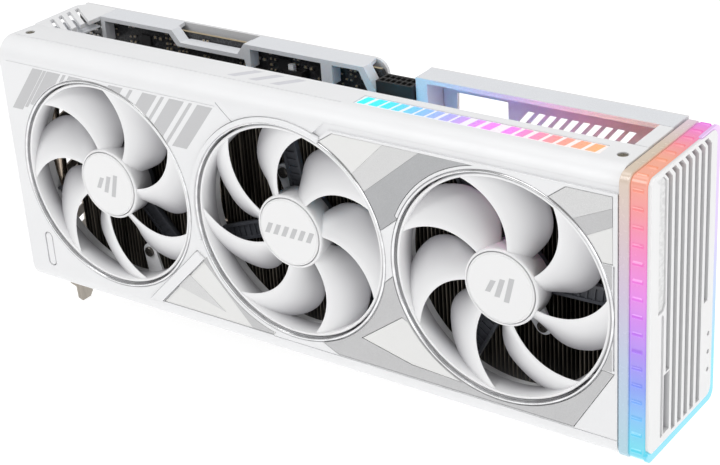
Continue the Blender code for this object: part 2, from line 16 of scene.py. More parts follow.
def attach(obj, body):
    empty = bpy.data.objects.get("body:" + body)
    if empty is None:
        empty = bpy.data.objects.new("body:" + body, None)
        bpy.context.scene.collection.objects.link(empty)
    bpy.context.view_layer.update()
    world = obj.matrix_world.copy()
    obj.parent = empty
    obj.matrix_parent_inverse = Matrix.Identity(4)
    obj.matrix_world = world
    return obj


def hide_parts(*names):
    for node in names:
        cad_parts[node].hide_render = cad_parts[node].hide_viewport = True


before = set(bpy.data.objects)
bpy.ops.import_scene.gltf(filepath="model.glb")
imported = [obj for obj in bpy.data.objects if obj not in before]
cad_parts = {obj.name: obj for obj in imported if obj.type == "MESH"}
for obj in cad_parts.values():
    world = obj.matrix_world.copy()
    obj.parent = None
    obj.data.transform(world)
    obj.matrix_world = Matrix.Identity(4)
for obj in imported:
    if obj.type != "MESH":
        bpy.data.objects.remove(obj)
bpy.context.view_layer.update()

# ---------------------------------------------------------------- driving sizes
ORIGIN_X = 172.0
ORIGIN_Y = 31.8
TAB_DROP = 29.5
MM = 0.001

HEIGHT = 132.0
DEPTH = 64.0
BODY_END = 356.5
SHROUD_X = (0.3, 342.5)
WALL = 2.6
TOP_STRIP_Y = 26.5
BOTTOM_STRIP_Y = 20.0
SHOULDER = (10.0, 10.3)
TOE = (6.0, 8.4)
POCKET = 1.4
GAP = 0.3

FAN_Z = 66.0
FAN_X = (62.3, 174.5, 286.7)
OPENING_R = 53.5
DUCT_R = 55.2
DUCT_END = 17.5
HUB_R = 18.2
BLADES = 7
BLADE_T = 1.5
RING_R = (50.9, 52.3)
RING_Y = (1.0, 11.5)
PANEL_R = 54.9
TRIM_R = (54.2, 56.6)

TOP_SCREW_X = (8.0, 336.5)
TOP_SCREW_Y = 16.0
LIGHT_BAR_X = (208.0, 328.0)
LIGHT_BAR_Y = (12.4, 21.6)
PARTS_FACE = 56.4
PIPE_FRONT = 21.5
PIPE_BACK = 49.3
TAIL_MARGIN = 0.4
TAIL_CORNER = 4.5


def at(x, y, z):
    return Vector(((x - ORIGIN_X) * MM, (y - ORIGIN_Y) * MM, (z + TAB_DROP) * MM))


# ---------------------------------------------------------------------- camera
CAMERA_AT = (625.57, -540.88, 411.84)
CAMERA_AZIMUTH = 37.12
CAMERA_ELEVATION = 26.31
CAMERA_ROLL = -4.11
CAMERA_LENS = 86.1


def make_camera():
    az = math.radians(CAMERA_AZIMUTH)
    el = math.radians(CAMERA_ELEVATION)
    roll = math.radians(CAMERA_ROLL)
    back = Vector((math.sin(az) * math.cos(el), -math.cos(az) * math.cos(el), math.sin(el)))
    flat_right = (-back).cross(Vector((0, 0, 1))).normalized()
    flat_up = flat_right.cross(-back)
    right = flat_right * math.cos(roll) + flat_up * math.sin(roll)
    up = flat_up * math.cos(roll) - flat_right * math.sin(roll)
    data = bpy.data.cameras.new("camera")
    data.sensor_fit = "HORIZONTAL"
    data.sensor_width = 36.0
    data.lens = CAMERA_LENS
    data.clip_end = 50.0
    camera = bpy.data.objects.new("camera", data)
    bpy.context.scene.collection.objects.link(camera)
    turn = Matrix((right, up, back)).transposed().to_4x4()
    camera.matrix_world = Matrix.Translation(at(*CAMERA_AT)) @ turn
    bpy.context.scene.camera = camera


make_camera()


# ------------------------------------------------------------------- materials
class Surface:
    """A Principled material with helpers for the node chains that feed it."""

    def __init__(self, name, colour, roughness=0.4, metallic=0.0):
        self.material = bpy.data.materials.new(name)
        self.material.use_nodes = True
        self.tree = self.material.node_tree
        self.shader = self.tree.nodes["Principled BSDF"]
        self.shader.inputs["Base Color"].default_value = (*colour, 1.0)
        self.shader.inputs["Roughness"].default_value = roughness
        self.shader.inputs["Metallic"].default_value = metallic
        self.roughness = roughness
        self.coords = self.tree.nodes.new("ShaderNodeTexCoord").outputs["Object"]
        self.bump_normal = None

    def node(self, kind, **values):
        made = self.tree.nodes.new(kind)
        for key, value in values.items():
            setattr(made, key, value)
        return made

    def link(self, source, target):
        self.tree.links.new(source, target)

    def noise(self, scale, detail=3.0, stretch=(1.0, 1.0, 1.0)):
        mapping = self.node("ShaderNodeMapping")
        mapping.inputs["Scale"].default_value = stretch
        self.link(self.coords, mapping.inputs["Vector"])
        noise = self.node("ShaderNodeTexNoise")
        noise.inputs["Scale"].default_value = scale
        noise.inputs["Detail"].default_value = detail
        self.link(mapping.outputs["Vector"], noise.inputs["Vector"])
        return noise.outputs["Fac"]

    def spread(self, source, low, high, start=0.3, end=0.7):
        span = self.node("ShaderNodeMapRange")
        span.inputs["From Min"].default_value = start
        span.inputs["From Max"].default_value = end
        span.inputs["To Min"].default_value = low
        span.inputs["To Max"].default_value = high
        self.link(source, span.inputs["Value"])
        return span.outputs["Result"]

    def ramp(self, source, stops):
        ramp = self.node("ShaderNodeValToRGB")
        elements = ramp.color_ramp.elements
        while len(elements) < len(stops):
            elements.new(0.5)
        for element, (place, colour) in zip(elements, stops):
            element.position = place
            element.color = (*colour, 1.0)
        self.link(source, ramp.inputs["Fac"])
        return ramp.outputs["Color"]

    def mottle(self, source, dark, light, start=0.3, end=0.7):
        self.link(
            self.ramp(source, ((start, dark), (end, light))), self.shader.inputs["Base Color"]
        )

    def vary_roughness(self, source, amount):
        low = self.roughness - amount
        high = self.roughness + amount
        self.link(self.spread(source, low, high), self.shader.inputs["Roughness"])

    def bump(self, source, depth_mm, strength=1.0):
        bump = self.node("ShaderNodeBump")
        bump.inputs["Strength"].default_value = strength
        bump.inputs["Distance"].default_value = depth_mm * MM
        self.link(source, bump.inputs["Height"])
        if self.bump_normal is not None:
            self.link(self.bump_normal, bump.inputs["Normal"])
        self.bump_normal = bump.outputs["Normal"]
        self.link(self.bump_normal, self.shader.inputs["Normal"])

    def skin(self, gloss_scale, gloss_detail, gloss, grain, depth_mm, strength=0.5):
        """Uneven gloss, and a fine grain of the given depth."""
        self.vary_roughness(self.noise(gloss_scale, gloss_detail), gloss)
        self.bump(self.noise(grain, 2.0), depth_mm, strength)

    def coordinate(self, axis, low, high):
        """0 to 1 between two places along an object axis, in metres."""
        split = self.node("ShaderNodeSeparateXYZ")
        self.link(self.coords, split.inputs["Vector"])
        return self.spread(split.outputs[axis], 0.0, 1.0, low, high)

    def attribute(self, name):
        return self.node("ShaderNodeAttribute", attribute_name=name).outputs["Fac"]

    def glow(self, colour_source, strength):
        self.link(colour_source, self.shader.inputs["Emission Color"])
        self.shader.inputs["Emission Strength"].default_value = strength


def moulded(name, colour, roughness, grain=2600.0, depth=0.012, tone=0.025):
    """Satin moulded plastic: spark-eroded grain, faint clouding and uneven gloss."""
    made = Surface(name, colour, roughness)
    cloud = made.noise(38.0, 2.0)
    dark = tuple(c * (1 - tone) for c in colour)
    made.mottle(cloud, dark, colour)
    made.skin(420.0, 4.0, 0.05, grain, depth, 0.6)
    return made


def painted(name, colour, roughness, metallic, flake=5200.0):
    """Paint with fine metallic flake over sheet or plastic."""
    made = Surface(name, colour, roughness, metallic)
    dark = tuple(c * 0.86 for c in colour)
    made.mottle(made.noise(flake, 1.0), dark, colour, 0.38, 0.62)
    made.vary_roughness(made.noise(90.0, 3.0), 0.06)
    made.bump(made.noise(flake, 1.0), 0.006, 0.5)
    return made


def brushed(name, colour, roughness, stretch):
    """Metal with brush lines drawn out along one axis."""
    made = Surface(name, colour, roughness, 1.0)
    lines = made.noise(900.0, 4.0, stretch)
    dark = tuple(c * 0.72 for c in colour)
    made.mottle(lines, dark, colour)
    made.vary_roughness(lines, 0.08)
    made.bump(lines, 0.01, 0.7)
    return made


SHELL = moulded("shell_white", (0.845, 0.848, 0.858), 0.36)
PANEL = moulded("panel_white", (0.80, 0.80, 0.79), 0.42, 1900.0, 0.02)
FRAME = painted("frame_white", (0.80, 0.815, 0.845), 0.38, 0.0)
BACK = painted("backplate_white", (0.83, 0.83, 0.84), 0.4, 0.0)
HUB = moulded("hub_cap_white", (0.86, 0.86, 0.862), 0.42, 3000.0, 0.004, 0.006)
PRINT = moulded("print_grey", (0.56, 0.56, 0.57), 0.5, 2600.0, 0.012)
PALE_PRINT = moulded("print_pale", (0.66, 0.66, 0.70), 0.45, 2600.0, 0.012)
MOTOR = moulded("motor_grey", (0.085, 0.09, 0.105), 0.42, 1500.0, 0.03, 0.3)
SOCKET = moulded("socket_black", (0.022, 0.021, 0.021), 0.42, 1700.0, 0.02, 0.3)
CHIP = moulded("chip_black", (0.018, 0.018, 0.02), 0.5, 1300.0, 0.02, 0.3)
CHOKE = moulded("choke_grey", (0.12, 0.12, 0.125), 0.55, 1100.0, 0.04, 0.3)
TAN = moulded("capacitor_tan", (0.42, 0.34, 0.22), 0.5, 1500.0, 0.02, 0.2)
SLIDER = moulded("slider_white", (0.8, 0.8, 0.8), 0.4)
LED_BOARD = moulded("led_board", (0.75, 0.75, 0.74), 0.5)
SILVER = painted("silver_trim", (0.56, 0.56, 0.565), 0.42, 0.35)
SILVER_LIGHT = painted("silver_light", (0.70, 0.70, 0.70), 0.4, 0.25)
SILVER_DARK = painted("silver_dark", (0.45, 0.455, 0.465), 0.42, 0.35)
BRIGHT = painted("bright_edge", (0.84, 0.84, 0.85), 0.2, 1.0, 160.0)
STEEL = brushed("shaft_steel", (0.62, 0.62, 0.64), 0.24, (1.0, 0.05, 1.0))
BRACKET = brushed("bracket_metal", (0.46, 0.42, 0.37), 0.34, (1.0, 1.0, 0.04))
PORT = brushed("port_metal", (0.58, 0.58, 0.6), 0.3, (0.05, 1.0, 1.0))
TOP_SCREW = brushed("top_screw", (0.36, 0.33, 0.27), 0.4, (1.0, 1.0, 1.0))
SCREW = brushed("screw_metal", (0.16, 0.15, 0.135), 0.35, (1.0, 1.0, 1.0))
NICKEL = brushed("nickel", (0.55, 0.46, 0.37), 0.26, (0.1, 1.0, 0.1))
GOLD = brushed("contact_gold", (0.75, 0.52, 0.2), 0.28, (1.0, 1.0, 0.1))


def make_fan_material():
    """White plastic with painted shade, a little greyer towards the back of the rotor."""
    made = Surface("fan_white", (0.83, 0.83, 0.845), 0.34)
    # painted shade: the base colour darkens from the front of the rotor to its back, deeper in the duct
    deep = made.coordinate("Y", (1.0 - ORIGIN_Y) * MM, (12.6 - ORIGIN_Y) * MM)
    painted_light_tones = (
        (0.0, (0.90, 0.90, 0.905)),
        (0.3, (0.78, 0.78, 0.79)),
        (0.75, (0.50, 0.495, 0.515)),
        (1.0, (0.40, 0.395, 0.42)),
    )
    made.link(made.ramp(deep, painted_light_tones), made.shader.inputs["Base Color"])
    made.skin(420.0, 4.0, 0.05, 2200.0, 0.008, 0.6)
    return made


def make_cap_material():
    """White ribbed plastic with painted shade, greyer down in the grooves."""
    made = Surface("cap_white", (0.84, 0.84, 0.842), 0.4)
    # painted shade: the base colour darkens with depth into the grooves
    deep = made.coordinate("X", (BODY_END - 5.4 - ORIGIN_X) * MM, (BODY_END - 0.5 - ORIGIN_X) * MM)
    painted_light_tones = ((0.0, (0.30, 0.30, 0.315)), (0.6, (0.52, 0.52, 0.535)), (1.0, (0.85, 0.85, 0.852)))
    made.link(made.ramp(deep, painted_light_tones), made.shader.inputs["Base Color"])
    made.skin(420.0, 4.0, 0.05, 2600.0, 0.012, 0.6)
    return made


def make_fin_material():
    """Dark coated fins with painted brownish glints on their front edges and painted sheen in streaks
    from fin to fin.
    """
    made = Surface("fin_dark", (0.02, 0.017, 0.014), 0.42, 0.3)
    # painted highlight: the front edges get brownish glints that fade into the dark coating behind them
    deep = made.coordinate("Y", (18.0 - ORIGIN_Y) * MM, (22.0 - ORIGIN_Y) * MM)
    painted_light_tones = ((0.0, (0.30, 0.26, 0.21)), (0.12, (0.16, 0.14, 0.115)), (0.5, (0.012, 0.011, 0.010)))
    edge = made.ramp(deep, painted_light_tones)
    # painted sheen: streaks that lighten or darken the fins one by one
    streak = made.noise(240.0, 3.0, (1.0, 0.1, 0.06))
    sheen_mix = made.node("ShaderNodeMix", data_type="RGBA", blend_type="MULTIPLY")
    sheen_mix.inputs["Factor"].default_value = 1.0
    made.link(edge, sheen_mix.inputs["A"])
    sheen_tones = ((0.38, (0.25, 0.25, 0.25)), (0.64, (1.0, 1.0, 1.0)))
    made.link(made.ramp(streak, sheen_tones), sheen_mix.inputs["B"])
    made.link(sheen_mix.outputs["Result"], made.shader.inputs["Base Color"])
    made.vary_roughness(streak, 0.1)
    made.bump(made.noise(1500.0, 2.0), 0.02, 0.5)
    return made


def make_board_material():
    """Black solder mask with faint cells of copper below it."""
    made = Surface("board_black", (0.012, 0.012, 0.014), 0.36)
    cells = made.node("ShaderNodeTexVoronoi", feature="DISTANCE_TO_EDGE")
    cells.inputs["Scale"].default_value = 420.0
    made.link(made.coords, cells.inputs["Vector"])
    traces = made.spread(cells.outputs["Distance"], 1.0, 0.0, 0.03, 0.09)
    made.mottle(traces, (0.016, 0.016, 0.018), (0.05, 0.051, 0.056), 0.2, 0.8)
    made.vary_roughness(made.noise(300.0, 3.0), 0.06)
    made.bump(traces, 0.02, 0.3)
    return made


def make_package_material():
    """Dark green package, a little cloudy."""
    made = Surface("gpu_package", (0.03, 0.05, 0.04), 0.3)
    made.mottle(made.noise(160.0, 3.0), (0.02, 0.035, 0.028), (0.05, 0.07, 0.06))
    made.skin(400.0, 3.0, 0.08, 1400.0, 0.01)
    return made


def make_textured_material():
    """White plastic with a coarse raised texture."""
    made = Surface("cap_textured", (0.80, 0.80, 0.80), 0.5)
    weave = made.noise(380.0, 3.0, (1.0, 1.0, 1.6))
    made.mottle(weave, (0.70, 0.70, 0.70), (0.82, 0.82, 0.82), 0.4, 0.6)
    made.vary_roughness(weave, 0.08)
    made.bump(weave, 0.25, 0.9)
    return made


FAN = make_fan_material()
CAP = make_cap_material()
FIN = make_fin_material()
BOARD = make_board_material()
PACKAGE = make_package_material()
TEXTURED = make_textured_material()

CYAN = (0.02, 0.72, 0.93)
SKY = (0.10, 0.48, 1.0)
BLUE = (0.13, 0.24, 0.98)
VIOLET = (0.36, 0.14, 0.95)
PURPLE = (0.62, 0.12, 0.93)
MAGENTA = (0.88, 0.11, 0.80)
PINK = (1.0, 0.12, 0.47)
CORAL = (1.0, 0.19, 0.22)
ORANGE = (1.0, 0.31, 0.14)


def pale(colour, amount):
    return tuple(c * (1 - amount) + amount for c in colour)


# Places round the ring as shares of its length, from the middle of the lower edge: front
# side upwards, top, back side downwards, and the lower edge again.
RING_STOPS = (
    (0.0, CYAN),
    (0.10, CYAN),
    (0.14, SKY),
    (0.175, BLUE),
    (0.215, VIOLET),
    (0.25, PURPLE),
    (0.29, MAGENTA),
    (0.34, PINK),
    (0.38, CORAL),
    (0.42, ORANGE),
    (0.475, ORANGE),
    (0.51, CORAL),
    (0.545, PINK),
    (0.575, MAGENTA),
    (0.66, MAGENTA),
    (0.75, VIOLET),
    (0.84, SKY),
    (0.92, CYAN),
    (1.0, CYAN),
)
CLEAR_STOPS = (
    (0.0, (0.44, 0.65, 0.73)),
    (0.10, (0.44, 0.64, 0.74)),
    (0.20, (0.50, 0.58, 0.74)),
    (0.29, (0.62, 0.52, 0.67)),
    (0.36, (0.68, 0.54, 0.54)),
    (0.43, (0.70, 0.58, 0.46)),
    (0.50, (0.70, 0.58, 0.46)),
    (0.58, (0.80, 0.64, 0.74)),
    (0.75, (0.66, 0.62, 0.84)),
    (0.92, (0.54, 0.77, 0.86)),
    (1.0, (0.56, 0.78, 0.86)),
)
EDGE_STOPS = (
    (0.0, CYAN),
    (0.16, CYAN),
    (0.36, (0.30, 0.60, 1.0)),
    (0.6, (0.62, 0.50, 1.0)),
    (0.95, (0.85, 0.50, 0.95)),
)
BAR_STOPS = (
    (0.0, (0.03, 0.74, 1.0)),
    (0.12, (0.05, 0.66, 1.0)),
    (0.25, (0.17, 0.46, 1.0)),
    (0.40, (0.38, 0.33, 0.98)),
    (0.50, (0.62, 0.24, 0.93)),
    (0.60, (0.95, 0.20, 0.85)),
    (0.70, (1.0, 0.22, 0.50)),
    (0.82, (1.0, 0.27, 0.26)),
    (1.0, (1.0, 0.38, 0.16)),
)


def make_lit_ring_material():
    """The lit band of the ring, with paler crests on its raised bars."""
    made = Surface("lit_ring", (0.9, 0.6, 0.8), 0.22)
    colour = made.ramp(made.attribute("along"), RING_STOPS)
    washed = made.node("ShaderNodeMix", data_type="RGBA", blend_type="MIX")
    made.link(made.spread(made.attribute("crest"), 0.13, 0.0, 0.0, 1.0), washed.inputs["Factor"])
    made.link(colour, washed.inputs["A"])
    washed.inputs["B"].default_value = (1.0, 1.0, 1.0, 1.0)
    made.mottle(made.noise(60.0, 2.0), (0.04, 0.04, 0.05), (0.07, 0.07, 0.08))
    made.glow(washed.outputs["Result"], 0.84)
    made.skin(500.0, 3.0, 0.06, 900.0, 0.02)
    made.shader.inputs["Coat Weight"].default_value = 0.4
    return made


def make_clear_ring_material():
    """The clear band beside it, tinted by the light inside."""
    made = Surface("clear_ring", (0.9, 0.87, 0.84), 0.24)
    colour = made.ramp(made.attribute("along"), CLEAR_STOPS)
    made.link(colour, made.shader.inputs["Base Color"])
    made.glow(colour, 0.02)
    made.skin(500.0, 3.0, 0.06, 700.0, 0.03)
    made.shader.inputs["Coat Weight"].default_value = 0.5
    return made


def make_edge_band_material():
    """The thin clear rim of the ring round the end cap: lilac above, cyan below."""
    made = Surface("edge_band", (0.3, 0.3, 0.32), 0.2)
    up = made.coordinate("Z", TAB_DROP * MM, (HEIGHT + TAB_DROP) * MM)
    colour = made.ramp(up, EDGE_STOPS)
    made.mottle(made.noise(60.0, 2.0), (0.14, 0.14, 0.16), (0.18, 0.18, 0.2))
    made.glow(colour, 0.72)
    made.skin(500.0, 3.0, 0.05, 900.0, 0.02)
    made.shader.inputs["Coat Weight"].default_value = 0.5
    return made


def make_bar_material(name, strength, wash):
    """Colours along the light bar on the top strip, washed out towards white."""
    made = Surface(name, (0.8, 0.8, 0.9), 0.3)
    low, high = LIGHT_BAR_X
    along = made.coordinate("X", (low + 1 - ORIGIN_X) * MM, (high - 1 - ORIGIN_X) * MM)
    colour = made.ramp(along, [(place, pale(c, wash)) for place, c in BAR_STOPS])
    made.link(colour, made.shader.inputs["Base Color"])
    made.glow(colour, strength)
    made.skin(500.0, 3.0, 0.06, 900.0, 0.02)
    return made


LIT_RING = make_lit_ring_material()
EDGE_BAND = make_edge_band_material()
CLEAR_RING = make_clear_ring_material()
LIT_BAR = make_bar_material("lit_bar", 0.42, 0.0)
BAR_HALO = make_bar_material("lit_bar_halo", 0.06, 0.88)
LED_GLOW = make_bar_material("led_glow", 9.0, 0.0)


# --------------------------------------------------------------------- helpers
def axis_point(axis, u, v, along):
    if axis == "x":
        return (along, u, v)
    if axis == "y":
        return (u, along, v)
    return (u, v, along)


def add_prism(bm, axis, outline, lo, hi):
    """Extrude a closed outline along an axis; outline points are the other two coordinates."""
    first = [bm.verts.new(axis_point(axis, u, v, lo)) for u, v in outline]
    second = [bm.verts.new(axis_point(axis, u, v, hi)) for u, v in outline]
    bm.faces.new(first)
    bm.faces.new(list(reversed(second)))
    count = len(outline)
    for i in range(count):
        j = (i + 1) % count
        bm.faces.new((first[i], second[i], second[j], first[j]))


def rectangle(u0, u1, v0, v1):
    return [(u0, v0), (u1, v0), (u1, v1), (u0, v1)]


def add_box(bm, x0, x1, y0, y1, z0, z1):
    add_prism(bm, "y", rectangle(x0, x1, z0, z1), y0, y1)


def add_lathe(bm, centre, profile, steps, axis="y"):
    """Turn a closed profile of (radius, depth) points round an axis through centre (u, v)."""
    cu, cv = centre
    loops = []
    for i in range(steps):
        angle = 2 * math.pi * i / steps
        loop = []
        for radius, along in profile:
            u = cu + radius * math.cos(angle)
            v = cv + radius * math.sin(angle)
            loop.append(bm.verts.new(axis_point(axis, u, v, along)))
        loops.append(loop)
    count = len(profile)
    for i in range(steps):
        a = loops[i]
        b = loops[(i + 1) % steps]
        for k in range(count):
            j = (k + 1) % count
            bm.faces.new((a[k], b[k], b[j], a[j]))


def add_dome(bm, centre, profile, steps, axis="y"):
    """Turn an open profile whose two ends lie on the axis, closed by a fan at each end."""
    cu, cv = centre
    first = bm.verts.new(axis_point(axis, cu, cv, profile[0][1]))
    last = bm.verts.new(axis_point(axis, cu, cv, profile[-1][1]))
    loops = []
    for i in range(steps):
        angle = 2 * math.pi * i / steps
        loop = []
        for radius, along in profile[1:-1]:
            u = cu + radius * math.cos(angle)
            v = cv + radius * math.sin(angle)
            loop.append(bm.verts.new(axis_point(axis, u, v, along)))
        loops.append(loop)
    for i in range(steps):
        a = loops[i]
        b = loops[(i + 1) % steps]
        bm.faces.new((first, b[0], a[0]))
        for k in range(len(a) - 1):
            bm.faces.new((a[k], b[k], b[k + 1], a[k + 1]))
        bm.faces.new((last, a[-1], b[-1]))


def arc(cu, cv, radius, start, end, steps):
    points = []
    for i in range(steps + 1):
        angle = math.radians(start + (end - start) * i / steps)
        points.append((cu + radius * math.cos(angle), cv + radius * math.sin(angle)))
    return points


def circle(cu, cv, radius, steps):
    return arc(cu, cv, radius, 0, 360, steps)[:-1]


def rounded_rectangle(u0, u1, v0, v1, radius, steps=6):
    points = []
    corners = (
        (u1 - radius, v0 + radius, -90),
        (u1 - radius, v1 - radius, 0),
        (u0 + radius, v1 - radius, 90),
        (u0 + radius, v0 + radius, 180),
    )
    for cu, cv, start in corners:
        points += arc(cu, cv, radius, start, start + 90, steps)
    return points


def grow(outline, amount):
    """The outline moved outwards by an amount, with mitred corners."""
    count = len(outline)
    area = 0.0
    for i in range(count):
        a, b = outline[i], outline[(i + 1) % count]
        area += a[0] * b[1] - b[0] * a[1]
    turn = 1 if area > 0 else -1
    grown = []
    for i in range(count):
        here = Vector(outline[i])
        back = (here - Vector(outline[i - 1])).normalized()
        ahead = (Vector(outline[(i + 1) % count]) - here).normalized()
        first = Vector((back.y, -back.x)) * turn
        second = Vector((ahead.y, -ahead.x)) * turn
        mitre = (first + second) / max(0.35, 1 + first.dot(second))
        grown.append(tuple(here + mitre * amount))
    return grown


def slanted(u0, u1, v0, v1, lean):
    """A parallelogram whose upper edge is moved along by lean."""
    return [(u0, v0), (u1, v0), (u1 + lean, v1), (u0 + lean, v1)]


def solid(name, bm):
    """An object from a bmesh, not yet part of the model; piece() turns it from millimetres."""
    bmesh.ops.recalc_face_normals(bm, faces=bm.faces)
    mesh = bpy.data.meshes.new(name)
    bm.to_mesh(mesh)
    bm.free()
    made = bpy.data.objects.new(name, mesh)
    bpy.context.scene.collection.objects.link(made)
    return made


def prism(name, axis, outline, lo, hi):
    bm = bmesh.new()
    add_prism(bm, axis, outline, lo, hi)
    return solid(name, bm)


def lathe(name, centre, profile, steps, axis="y"):
    bm = bmesh.new()
    add_lathe(bm, centre, profile, steps, axis)
    return solid(name, bm)


def dome(name, centre, profile, steps, axis="y"):
    bm = bmesh.new()
    add_dome(bm, centre, profile, steps, axis)
    return solid(name, bm)


def cut(axis, outline, lo, hi):
    """A prism that shape() takes away."""
    return ("DIFFERENCE", prism("cut", axis, outline, lo, hi))


def join(axis, outline, lo, hi):
    """A prism that shape() adds."""
    return ("UNION", prism("join", axis, outline, lo, hi))


def shape(target, tools):
    """Apply (operation, object) Booleans in order and delete the tools."""
    for operation, tool in tools:
        modifier = target.modifiers.new("shape", "BOOLEAN")
        modifier.operation = operation
        modifier.solver = "EXACT"
        modifier.object = tool
    bpy.context.view_layer.update()
    evaluated = target.evaluated_get(bpy.context.evaluated_depsgraph_get())
    mesh = bpy.data.meshes.new_from_object(evaluated)
    target.modifiers.clear()
    target.data = mesh
    for _, tool in tools:
        bpy.data.objects.remove(tool, do_unlink=True)
    return target


def piece(made, surface, body="card", replaces=(), bevel=0.0, segments=2, sharp=32.0):
    """Move a solid into the frame, finish it and fix it to its body."""
    mesh = made.data
    for vert in mesh.vertices:
        vert.co = at(*vert.co)
    mesh.materials.clear()
    mesh.materials.append(surface.material)
    mesh.shade_smooth()
    mesh.set_sharp_from_angle(angle=math.radians(sharp))
    if bevel:
        add_bevel(made, bevel, segments)
    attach(made, body)
    if replaces:
        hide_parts(*replaces)
    return made


def add_bevel(made, width, segments=2):
    modifier = made.modifiers.new("edges", "BEVEL")
    modifier.width = width * MM
    modifier.segments = segments
    modifier.limit_method = "ANGLE"
    modifier.angle_limit = math.radians(38)
    modifier.harden_normals = True


def keep(node, surface, bevel=0.0):
    """Finish a CAD node that stays as it is."""
    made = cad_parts[node]
    made.data.materials.clear()
    made.data.materials.append(surface.material)
    if bevel:
        add_bevel(made, bevel)


# ---------------------------------------------------------------- front outlines
def fan_arc(index, radius, start, end, steps):
    return arc(FAN_X[index], FAN_Z, radius, start, end, steps)


UPPER_CENTRE = fan_arc(1, PANEL_R, 66, 15, 16) + [(236.5, 87.5)] + fan_arc(2, 56.3, 156, 102, 16)
UPPER_CENTRE += [(276.0, 121.2), (204.5, 121.2)]
LOWER_CENTRE = fan_arc(1, PANEL_R, -12, -73, 18) + [(199.0, 9.5), (322.0, 9.5), (341.0, 40.5)]
LOWER_CENTRE += fan_arc(2, PANEL_R, -27, -172, 40)
INFILL = [(213.5, 22.3), (235.9, 38.6)] + fan_arc(2, 55.6, 211, 248, 14) + [(240.0, 15.9)]
TOP_RIGHT = [(319.5, 120.8), (340.2, 120.8), (340.2, 91.0)] + fan_arc(2, PANEL_R, 27, 63, 12)
LOWER_LEFT = [(92.0, 9.2), (160.6, 9.2)] + fan_arc(1, TRIM_R[1], 257, 206, 16)
DIAGONAL = [(83.5, 9.2), (91.0, 9.2), (122.6, 40.8), (118.0, 43.7)]
TRIM_RING = fan_arc(1, TRIM_R[1], 66, 196, 60) + fan_arc(1, TRIM_R[0], 196, 66, 60)
PILL = rounded_rectangle(13.0, 18.0, 10.5, 29.5, 2.4)


def cut_by_line(outline, a, b):
    """The part of an outline on the left of the line from a to b."""
    def side(p):
        return (b[0] - a[0]) * (p[1] - a[1]) - (b[1] - a[1]) * (p[0] - a[0])

    kept = []
    for i, here in enumerate(outline):
        before = outline[i - 1]
        s0, s1 = side(before), side(here)
        if (s0 < 0) != (s1 < 0):
            t = s0 / (s0 - s1)
            kept.append((before[0] + (here[0] - before[0]) * t, before[1] + (here[1] - before[1]) * t))
        if s1 >= 0:
            kept.append(here)
    return kept


# --------------------------------------------------------------------- shroud
def shell_profile(wall, top_y, bottom_y):
    points = [(top_y, HEIGHT - wall)]
    for i in range(25):
        angle = math.radians(90 + 90 * i / 24)
        y = SHOULDER[0] + (SHOULDER[0] - wall) * math.cos(angle)
        z = HEIGHT - SHOULDER[1] + (SHOULDER[1] - wall) * math.sin(angle)
        points.append((y, z))
    for i in range(17):
        angle = math.radians(180 + 90 * i / 16)
        y = TOE[0] + (TOE[0] - wall) * math.cos(angle)
        z = TOE[1] + (TOE[1] - wall) * math.sin(angle)
        points.append((y, z))
    points.append((bottom_y, wall))
    return points


def opening_profile():
    """The bore of a fan opening with a rolled lip at the front."""
    lip = 1.2
    points = [(0.01, -3.0), (OPENING_R + lip, -3.0)]
    for i in range(7):
        angle = math.radians(90 * i / 6)
        radius = OPENING_R + lip - lip * math.sin(angle)
        points.append((radius, lip - lip * math.cos(angle)))
    points += [(OPENING_R, DUCT_END + 5), (0.01, DUCT_END + 5)]
    return points


